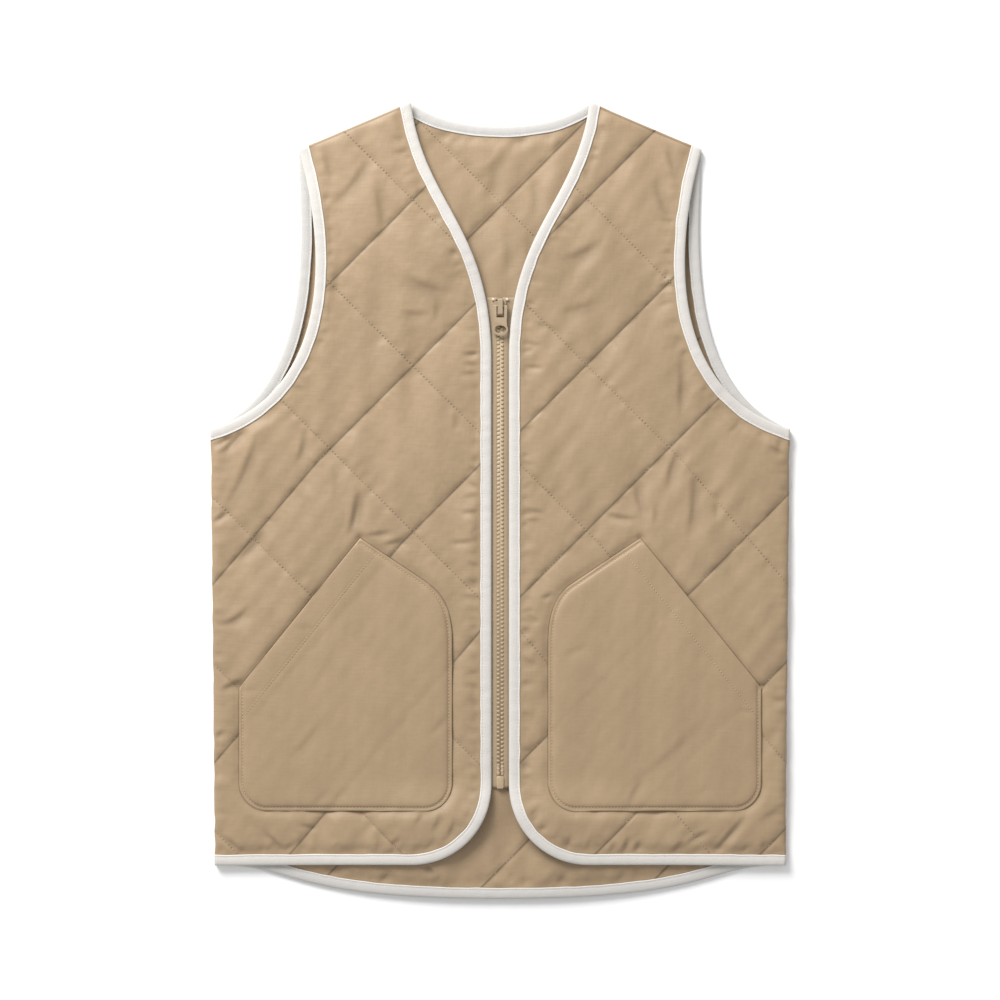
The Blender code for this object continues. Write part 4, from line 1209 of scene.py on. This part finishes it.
def zip_cord():
    """Woven cord that the teeth are moulded on: an ellipse carried along the chain."""
    turn = np.linspace(0.0, 2.0 * np.pi, CORD_SIDES + 1)[:-1]
    ups = np.array([BOX_MID[1], CHAIN_TOP_UP])
    out = np.broadcast_to(CORD_HALF[0] * np.cos(turn), (2, len(turn)))
    height = np.broadcast_to(CORD_MID + CORD_HALF[1] * np.sin(turn), out.shape)
    up = np.broadcast_to(ups[:, None], out.shape)
    points = np.stack([out, up, height], axis=-1).reshape(-1, 3)
    return points, [cells[:, ::-1] for cells in strip_faces(2, len(turn))]


def make_tape(name, node, side, material):
    """Zip tape: a thin woven strip that leans down from the teeth to run under the front."""
    section = stepped(np.array(TAPE_SECTION), TAPE_STEPS[0])
    ups = stepped(np.array([[ZIP_FOOT_UP], [ZIP_TOP_UP]]), TAPE_STEPS[1])[:, 0]
    out = np.broadcast_to(section[:, 0], (len(ups), len(section)))
    height = section[:, 1] + varied(ups, SEEDS["tape_wave"] + side, *TAPE_WAVE)[:, None]
    up = np.broadcast_to(ups[:, None], out.shape)
    half = TAPE_THICK / 2.0
    upper = np.stack([side * out, up, height + half], axis=-1)
    lower = np.stack([side * out, up, height - half], axis=-1)[:, ::-1]
    points = np.concatenate([upper, lower], axis=1)
    rows, columns = points.shape[:2]
    faces = strip_faces(rows, columns)
    if side < 0:
        faces = [cells[:, ::-1] for cells in faces]
    piece = add_piece(name, points.reshape(-1, 3), faces, material, [node])
    return piece


def make_teeth(material):
    """Two rows of moulded teeth that take turns along the chain."""
    count = int((CHAIN_TOP_UP - CHAIN_FOOT_UP) / TOOTH_PITCH)
    ups = CHAIN_FOOT_UP + TOOTH_PITCH * (np.arange(count) + 0.5)
    rows = []
    for side, shift in ((-1, 0.0), (1, TOOTH_PITCH / 2.0)):
        kept = ups[ups + shift < CHAIN_TOP_UP] + shift
        rows.append(np.column_stack([np.full(len(kept), side * TOOTH_OUT), kept,
                                     np.full(len(kept), TOOTH_MID)]))
    teeth = copies(rounded_block(TOOTH_HALF, MOULDED_EDGES["tooth"]), np.concatenate(rows))
    points, faces = joined(teeth, zip_cord())
    return add_piece("zip_teeth", points, faces, material, ["zip_chain"])


def make_foot(material):
    """Retainer box at the lower end, with the two pins that stand in it."""
    mids = [np.multiply(PIN_MID, (side, 1, 1)) for side in (-1, 1)]
    pins = copies(rounded_block(PIN_HALF, MOULDED_EDGES["pin"]), mids)
    box = copies(rounded_block(BOX_HALF, MOULDED_EDGES["box"]), [BOX_MID])
    points, faces = joined(box, pins)
    return add_piece("zip_foot", points, faces, material, ["zip_retainer_box"])


def make_stop(name, node, side, material):
    """Top stop at the end of one row of teeth."""
    block = rounded_block(STOP_HALF, MOULDED_EDGES["stop"])
    points, faces = copies(block, [np.multiply(STOP_MID, (side, 1, 1))])
    return add_piece(name, points, faces, material, [node])


def cast_copy(name, node, body, width, material):
    """Copy of a cast piece with its facets merged and its edges rounded."""
    shape = bmesh.new()
    shape.from_mesh(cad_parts[node].data)
    bmesh.ops.remove_doubles(shape, verts=shape.verts[:], dist=1e-6)
    bmesh.ops.dissolve_limit(shape, angle_limit=SMOOTH_ANGLE, verts=shape.verts[:],
                             edges=shape.edges[:])
    mesh = bpy.data.meshes.new(name)
    shape.to_mesh(mesh)
    shape.free()
    mesh.shade_smooth()
    mesh.materials.clear()
    mesh.materials.append(material)
    piece = bpy.data.objects.new(name, mesh)
    bpy.context.scene.collection.objects.link(piece)
    soften = piece.modifiers.new("soft_edges", "BEVEL")
    soften.width = width * MM
    soften.segments = 3
    soften.limit_method = "ANGLE"
    soften.angle_limit = SHARP_ANGLE
    soften.harden_normals = True
    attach(piece, body)
    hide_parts(node)
    return piece


# Finishes


def add_node(tree, kind, settings=None, **inputs):
    """Adds a node, sets its properties, and fills or links its inputs by name."""
    made = tree.nodes.new(kind)
    for key, value in (settings or {}).items():
        setattr(made, key, value)
    for key, value in inputs.items():
        fill(tree, made.inputs[key.replace("_", " ")], value)
    return made


def fill(tree, socket, value):
    """Links a socket to another one, or sets its value."""
    if isinstance(value, bpy.types.NodeSocket):
        tree.links.new(value, socket)
    else:
        socket.default_value = value


def maths(tree, operation, *values):
    """Output of a math node with the given values."""
    made = tree.nodes.new("ShaderNodeMath")
    made.operation = operation
    for socket, value in zip(made.inputs, values):
        fill(tree, socket, value)
    return made.outputs[0]


def scaled(tree, vector, factor):
    """A vector or colour times a value."""
    made = add_node(tree, "ShaderNodeVectorMath", {"operation": "SCALE"}, Vector=vector, Scale=factor)
    return made.outputs["Vector"]


def new_group(name, inputs, outputs):
    """Empty node group with named sockets, given as name: (kind, first value) and name: kind."""
    tree = bpy.data.node_groups.new(name, "ShaderNodeTree")
    for label, (kind, value) in inputs.items():
        socket = tree.interface.new_socket(label, in_out="INPUT", socket_type="NodeSocket" + kind)
        if value is not None:
            socket.default_value = value
    for label, kind in outputs.items():
        tree.interface.new_socket(label, in_out="OUTPUT", socket_type="NodeSocket" + kind)
    return tree, tree.nodes.new("NodeGroupInput").outputs, tree.nodes.new("NodeGroupOutput").inputs


def woven_threads():
    """Plain weave: threads cross as the product of two sine waves, one over and one under."""
    tree, given, out = new_group("woven_threads", {"Place": ("Vector", None), "Pitch": ("Float", 0.0005)},
                                 {"Height": "Float"})
    turns = maths(tree, "DIVIDE", math.pi, given["Pitch"])
    split = add_node(tree, "ShaderNodeSeparateXYZ", Vector=scaled(tree, given["Place"], turns))
    product = maths(tree, "MULTIPLY", maths(tree, "SINE", split.outputs["X"]),
                    maths(tree, "SINE", split.outputs["Y"]))
    tree.links.new(maths(tree, "MULTIPLY_ADD", product, 0.5, 0.5), out["Height"])
    return tree


def thread_slubs():
    """Uneven threads: two noises, drawn out along the two directions of the weave."""
    tree, given, out = new_group("thread_slubs", {"Place": ("Vector", None), "Scale": ("Float", 60.0)},
                                 {"Height": "Float"})
    heights = []
    for stretch in ((1.0, 7.0, 1.0), (7.0, 1.0, 1.0)):
        drawn = add_node(tree, "ShaderNodeVectorMath", {"operation": "MULTIPLY"}, Vector=given["Place"])
        drawn.inputs[1].default_value = stretch
        noise = add_node(tree, "ShaderNodeTexNoise", Vector=drawn.outputs["Vector"], Scale=given["Scale"],
                         Detail=3.0, Roughness=0.5)
        heights.append(noise.outputs["Fac"])
    tree.links.new(maths(tree, "ADD", *heights), out["Height"])
    return tree


def uneven_dye():
    """Colour that drifts a little over the cloth: two noises lighten and darken it."""
    tree, given, out = new_group(
        "uneven_dye", {"Place": ("Vector", None), "Colour": ("Color", None), "Amount": ("Float", 0.06)},
        {"Colour": "Color", "Drift": "Float"})
    broad = add_node(tree, "ShaderNodeTexNoise", Vector=given["Place"], Scale=9.0, Detail=3.0)
    close = add_node(tree, "ShaderNodeTexNoise", Vector=given["Place"], Scale=260.0, Detail=2.0)
    drift = maths(tree, "ADD", maths(tree, "MULTIPLY", broad.outputs["Fac"], 0.65),
                  maths(tree, "MULTIPLY", close.outputs["Fac"], 0.35))
    drift = maths(tree, "SUBTRACT", drift, 0.5)
    shade = maths(tree, "MULTIPLY_ADD", drift, maths(tree, "MULTIPLY", given["Amount"], 4.0), 1.0)
    tree.links.new(scaled(tree, given["Colour"], shade), out["Colour"])
    tree.links.new(drift, out["Drift"])
    return tree


def beside_line():
    """Nearness to a line: a bell of the distance from it, 1 on the line."""
    tree, given, out = new_group("beside_line", {"Gap": ("Float", 0.0), "Width": ("Float", 0.001)},
                                 {"Nearness": "Float"})
    share = maths(tree, "DIVIDE", given["Gap"], given["Width"])
    square = maths(tree, "MULTIPLY", share, share)
    tree.links.new(maths(tree, "EXPONENT", maths(tree, "MULTIPLY", square, -1.0)), out["Nearness"])
    return tree


GROUPS = {"line": beside_line(), "weave": woven_threads(), "slubs": thread_slubs(), "dye": uneven_dye()}


def use_group(tree, name, **inputs):
    """Outputs of one of the shared groups placed in a material."""
    made = tree.nodes.new("ShaderNodeGroup")
    made.node_tree = GROUPS[name]
    for key, value in inputs.items():
        fill(tree, made.inputs[key], value)
    return made.outputs


def new_material(name, **constants):
    """Material with one Principled shader whose constant values are set on its own sockets."""
    material = bpy.data.materials.new(name)
    material.use_nodes = True
    shader = material.node_tree.nodes["Principled BSDF"]
    for key, value in constants.items():
        shader.inputs[key.replace("_", " ")].default_value = value
    return material, material.node_tree, shader.inputs


def bumped(tree, sockets, layers):
    """Chains bump nodes, given as (height, distance in millimetres), into the shader's normal."""
    normal = None
    for height, distance in layers:
        bump = add_node(tree, "ShaderNodeBump", Height=height, Distance=distance * MM)
        if normal:
            tree.links.new(normal, bump.inputs["Normal"])
        normal = bump.outputs["Normal"]
    tree.links.new(normal, sockets["Normal"])


def roughened(tree, sockets, drift, usual, varies):
    """Roughness that drifts with the dye."""
    tree.links.new(maths(tree, "MULTIPLY_ADD", drift, varies, usual), sockets["Roughness"])


def object_place(tree):
    """Place on the piece, in metres."""
    return tree.nodes.new("ShaderNodeTexCoord").outputs["Object"]


def mark(tree, name, output="Fac"):
    """A value or vector written on the piece's own points."""
    return add_node(tree, "ShaderNodeAttribute", {"attribute_name": name}).outputs[output]


def needle_pits(tree, place, falling):
    """Pits along the falling lines, bumped in and darkened as painted shade: a cosine at the stitch
    pitch, in patches of a noise.
    """
    scale, start, full = PIT_PATCHES
    spot = add_node(tree, "ShaderNodeSeparateXYZ", Vector=place).outputs
    run = maths(tree, "MULTIPLY", maths(tree, "SUBTRACT", spot["X"], spot["Y"]), DIAGONAL)
    turns = maths(tree, "MULTIPLY", run, 2.0 * math.pi / (QUILTING_STITCH[0] * MM))
    wave = maths(tree, "MULTIPLY_ADD", maths(tree, "COSINE", turns), -0.5, 0.5)
    noise = add_node(tree, "ShaderNodeTexNoise", Vector=place, Scale=scale, Detail=1.0)
    patches = add_node(tree, "ShaderNodeMapRange", Value=noise.outputs["Fac"], From_Min=start,
                       From_Max=full)
    return maths(tree, "MULTIPLY", maths(tree, "MULTIPLY", falling, wave), patches.outputs["Result"])


def painted_quilt_shade(tree, place):
    """Painted shade: how much darker the quilt is, summed over lines, pits and folds, and the pits
    themselves.
    """
    gaps = add_node(tree, "ShaderNodeSeparateXYZ", Vector=mark(tree, "quilting", "Vector")).outputs
    rising, falling, ditch = (
        use_group(tree, "line", Gap=gaps[axis], Width=width)["Nearness"]
        for axis, (width, _) in zip("XYZ", (RISING_LINE_SHADE, FALLING_LINE_SHADE, DITCH_SHADE)))
    pits = needle_pits(tree, place, falling)
    beside = maths(tree, "POWER", mark(tree, "sewn"), SEWN_SHARPNESS)
    total = maths(tree, "MULTIPLY", pits, PIT_SHADE)
    for nearness, darker in ((rising, RISING_LINE_SHADE[1]), (falling, FALLING_LINE_SHADE[1]),
                             (ditch, DITCH_SHADE[1]), (mark(tree, "fold"), FOLD_SHADE),
                             (beside, SEWN_SHADE)):
        total = maths(tree, "MULTIPLY_ADD", nearness, darker, total)
    return total, pits


def nylon(name, colour, slub_height, quilted):
    """Thin crisp cloth: fine weave, slubs, uneven dye, and painted shade along lines and folds where it
    is quilted.
    """
    material, tree, sockets = new_material(name, Sheen_Weight=0.12, Sheen_Roughness=0.45)
    place = object_place(tree)
    dye = use_group(tree, "dye", Place=place, Colour=(*colour, 1.0), Amount=0.07)
    tint = dye["Colour"]
    layers = []
    if quilted:
        # Painted shade of lines, pits and folds darkens the colour
        darker, pits = painted_quilt_shade(tree, place)
        layers.append((maths(tree, "MULTIPLY", pits, -1.0), PIT_DEPTH))
        tint = scaled(tree, tint, maths(tree, "SUBTRACT", 1.0, darker))
    tree.links.new(tint, sockets["Base Color"])
    roughened(tree, sockets, dye["Drift"], usual=0.56, varies=0.35)
    weave = use_group(tree, "weave", Place=place, Pitch=NYLON_PITCH)["Height"]
    slubs = use_group(tree, "slubs", Place=place, Scale=NYLON_SLUBS)["Height"]
    bumped(tree, sockets, layers + [(slubs, slub_height), (weave, NYLON_WEAVE)])
    return material


def binding_cloth(name, colour):
    """Cream cotton tape: plain weave with slubs, and a painted highlight along its lip."""
    material, tree, sockets = new_material(name, Sheen_Weight=0.1, Sheen_Roughness=0.6)
    place, along = object_place(tree), mark(tree, "weave", "Vector")
    dye = use_group(tree, "dye", Place=place, Colour=(*colour, 1.0), Amount=0.05)
    lip = mark(tree, "lip")
    # Painted highlight along the lip
    shade = maths(tree, "MULTIPLY_ADD", lip, LIP_HIGHLIGHT, 1.0)
    tree.links.new(scaled(tree, dye["Colour"], shade), sockets["Base Color"])
    roughened(tree, sockets, dye["Drift"], usual=0.75, varies=0.3)
    weave = use_group(tree, "weave", Place=along, Pitch=COTTON_PITCH)["Height"]
    slubs = use_group(tree, "slubs", Place=along, Scale=COTTON_SLUBS)["Height"]
    bumped(tree, sockets, ((slubs, COTTON_SLUB), (weave, COTTON_WEAVE)))
    return material


def tape_cloth():
    """Woven zip tape with a slanting twill."""
    material, tree, sockets = new_material("zip_tape_twill")
    place = object_place(tree)
    turned = add_node(tree, "ShaderNodeMapping", Vector=place, Rotation=(0.0, 0.0, TWILL_SLANT))
    dye = use_group(tree, "dye", Place=place, Colour=(*TAPE_BROWN, 1.0), Amount=0.08)
    tree.links.new(dye["Colour"], sockets["Base Color"])
    roughened(tree, sockets, dye["Drift"], usual=0.8, varies=0.3)
    weave = use_group(tree, "weave", Place=turned.outputs["Vector"], Pitch=TWILL_PITCH)["Height"]
    bumped(tree, sockets, ((weave, TWILL_WEAVE),))
    return material


def sewing_thread(name, colour):
    """Twisted sewing thread."""
    material, tree, sockets = new_material(name, Sheen_Weight=0.1)
    place = object_place(tree)
    dye = use_group(tree, "dye", Place=place, Colour=(*colour, 1.0), Amount=0.08)
    tree.links.new(dye["Colour"], sockets["Base Color"])
    roughened(tree, sockets, dye["Drift"], usual=0.6, varies=0.3)
    weave = use_group(tree, "weave", Place=place, Pitch=THREAD_PITCH)["Height"]
    bumped(tree, sockets, ((weave, THREAD_TWIST),))
    return material


def hard_finish(name, colour, roughness, coat):
    """Moulded plastic or lacquered metal: faint mottling, rubbed patches and orange-peel skin."""
    material, tree, sockets = new_material(name, Coat_Weight=coat, Coat_Roughness=0.25)
    place = object_place(tree)
    dye = use_group(tree, "dye", Place=place, Colour=(*colour, 1.0), Amount=0.10)
    tree.links.new(dye["Colour"], sockets["Base Color"])
    roughened(tree, sockets, dye["Drift"], usual=roughness, varies=0.5)
    skin = add_node(tree, "ShaderNodeTexNoise", Vector=place, Scale=SKIN_SCALE, Detail=1.0)
    bumped(tree, sockets, ((skin.outputs["Fac"], SKIN_HEIGHT),))
    return material


# Stage


def make_stage():
    """Plain white floor just under the vest."""
    mesh = bpy.data.meshes.new("floor")
    corners = [(across * FLOOR_HALF, along * FLOOR_HALF, -FLOOR_DROP)
               for across, along in ((-1, -1), (1, -1), (1, 1), (-1, 1))]
    mesh.from_pydata(corners, [], [(0, 1, 2, 3)])
    material, tree, sockets = new_material("floor_white", Roughness=0.9)
    place = object_place(tree)
    dye = use_group(tree, "dye", Place=place, Colour=(*FLOOR_WHITE, 1.0), Amount=0.003)
    tree.links.new(dye["Colour"], sockets["Base Color"])
    mesh.materials.append(material)
    floor = bpy.data.objects.new("floor", mesh)
    bpy.context.scene.collection.objects.link(floor)


def add_light(name, place, size, power):
    """Square soft light that points at the vest."""
    lamp = bpy.data.lights.new(name, "AREA")
    lamp.size, lamp.energy = size, power
    light = bpy.data.objects.new(name, lamp)
    light.location = place
    towards = np.array(place) / -np.linalg.norm(place)
    turn = math.atan2(-towards[0], towards[1])
    tilt = math.acos(-towards[2])
    light.rotation_euler = (tilt, 0.0, turn)
    bpy.context.scene.collection.objects.link(light)


def make_light():
    """Soft key light from the upper left and an even pale surround."""
    add_light("key", KEY_PLACE, KEY_SIZE, KEY_POWER)
    world = bpy.data.worlds.new("surround")
    world.use_nodes = True
    background = world.node_tree.nodes["Background"]
    background.inputs["Color"].default_value = (1.0, 1.0, 1.0, 1.0)
    background.inputs["Strength"].default_value = SURROUND
    scene = bpy.context.scene
    scene.world = world
    scene.view_settings.view_transform = "Standard"
    scene.view_settings.look = "None"


def make_camera():
    """Camera straight above the vest, with the hem towards the bottom of the picture."""
    lens = bpy.data.cameras.new("camera")
    lens.lens, lens.sensor_width = LENS, SENSOR
    lens.clip_start, lens.clip_end = 0.05, 20.0
    camera = bpy.data.objects.new("camera", lens)
    camera.location = (*VIEW_MIDDLE[:2], VIEW_MIDDLE[2] + VIEW_WIDTH * LENS / SENSOR)
    bpy.context.scene.collection.objects.link(camera)
    bpy.context.scene.camera = camera


# The whole vest


def make_back(cloth, binding, thread, binding_thread, front_outlines):
    """Back panel with its bindings and its quilting on both faces."""
    holes = {side: armhole(BACK_ARMHOLE_PULL) * (side, 1) for side in (-1, 1)}
    edges = bound_ring([back_neck(), holes[-1], back_hem(), holes[1][::-1]], back_height)
    panel = QuiltedPanel("back", edges, BACK_LOW, False)
    panel.make("quilt_back", "back_panel", cloth)
    names = ("back_neck", "armhole_back_right", "back_hem", "armhole_back_left")
    seams = []
    for index, (label, edge) in enumerate(zip(names, edges)):
        bind("bound_" + label, "binding_" + label, edge, index, binding)
        seams.append(binding_stitch_ends(edge))
    first, last = (np.concatenate(pair) for pair in zip(*seams))
    sew("binding_stitches_back", first, last, BINDING_STITCH[2], binding_thread, "binding_cloth")
    first, last, sunk = panel.quilting_ends()
    shown = ~np.any([inside(first, outline) for outline in front_outlines], axis=0)
    top = [raised(ends[shown], panel.heights(ends[shown])[1] - sunk[shown]) for ends in (first, last)]
    sew("quilting_stitches_neck", *top, QUILTING_STITCH[2], thread, "quilt_cloth")
    below = [raised(ends, np.maximum(panel.heights(ends)[0], UNDER_STITCH)) for ends in (first, last)]
    sew("quilting_stitches_back", *below, UNDER_STITCH, thread, "quilt_cloth", up=-1.0)


def front_edges(side):
    """Bound edges of one front: neck to hem, then the armhole."""
    paths = [front_edge() * (side, 1), (armhole(FRONT_ARMHOLE_PULL) * (side, 1))[::-1]]
    return bound_ring(paths, front_height)


def make_front(name, side, edges, cloth, pocket_cloth, binding, thread, binding_thread):
    """One front with its bindings, pocket and stitches."""
    pocket = PatchPocket(side)
    panel = QuiltedPanel(name, edges, FRONT_LOW, True, pocket)
    panel.make("quilt_front_" + name, "front_panel_" + name, cloth)
    pocket.make("patch_pocket_" + name, "pocket_" + name, panel, pocket_cloth)
    labels = ("front_" + name, "armhole_front_" + name)
    seams = []
    for index, (label, edge) in enumerate(zip(labels, edges)):
        bind("bound_" + label, "binding_" + label, edge, 10 + 2 * side + index, binding)
        seams.append(binding_stitch_ends(edge))
    first, last = (np.concatenate(pair) for pair in zip(*seams))
    sew("binding_stitches_front_" + name, first, last, BINDING_STITCH[2], binding_thread, "binding_cloth")
    first, last, sunk = panel.quilting_ends()
    ends = [raised(places, panel.heights(places)[1] - sunk) for places in (first, last)]
    sew("quilting_stitches_front_" + name, *ends, QUILTING_STITCH[2], thread, "quilt_cloth")
    sew("pocket_stitches_" + name, *pocket.stitch_ends(panel), POCKET_STITCH[2], thread, "pocket_cloth")


def main():
    """Makes the finishes, every piece of the vest, and then the stage, light and camera."""
    quilt = nylon("khaki_quilt", KHAKI, QUILT_SLUB, quilted=True)
    pocket = nylon("khaki_pocket", KHAKI, POCKET_SLUB, quilted=False)
    binding = binding_cloth("binding_cotton", CREAM)
    # Painted shade: a darker copy of the cream tape for the back's bindings
    shaded_back_binding = binding_cloth("binding_cotton_back_shaded", SHADED_BACK_CREAM)
    thread = sewing_thread("khaki_thread", KHAKI_THREAD)
    binding_thread = sewing_thread("cream_thread", CREAM_THREAD)
    teeth = hard_finish("zip_teeth_plastic", TEETH_BROWN, roughness=0.45, coat=0.1)
    # Painted light: the top stops are paler, as where light catches them
    lit_stops = hard_finish("zip_stop_plastic_lit", LIT_STOP_CREAM, roughness=0.4, coat=0.2)
    lacquer = hard_finish("zip_slider_lacquer", LACQUER_BROWN, roughness=0.4, coat=0.3)
    twill = tape_cloth()
    edges = {name: front_edges(side) for name, side in SIDES.items()}
    outlines = [np.concatenate([edge.points for edge in ring]) for ring in edges.values()]
    make_back(quilt, shaded_back_binding, thread, binding_thread, outlines)
    for name, side in SIDES.items():
        make_front(name, side, edges[name], quilt, pocket, binding, thread, binding_thread)
        make_tape("woven_tape_" + name, "zip_tape_" + name, side, twill)
        make_stop("top_stop_" + name, "zip_top_stop_" + name, side, lit_stops)
    make_teeth(teeth)
    make_foot(teeth)
    cast_copy("slider_body", "zip_slider", "vest", SLIDER_EDGE, lacquer)
    cast_copy("pull_tab", "zip_pull_tab", "zip_pull", TAB_EDGE, lacquer)
    make_stage()
    make_light()
    make_camera()


main()
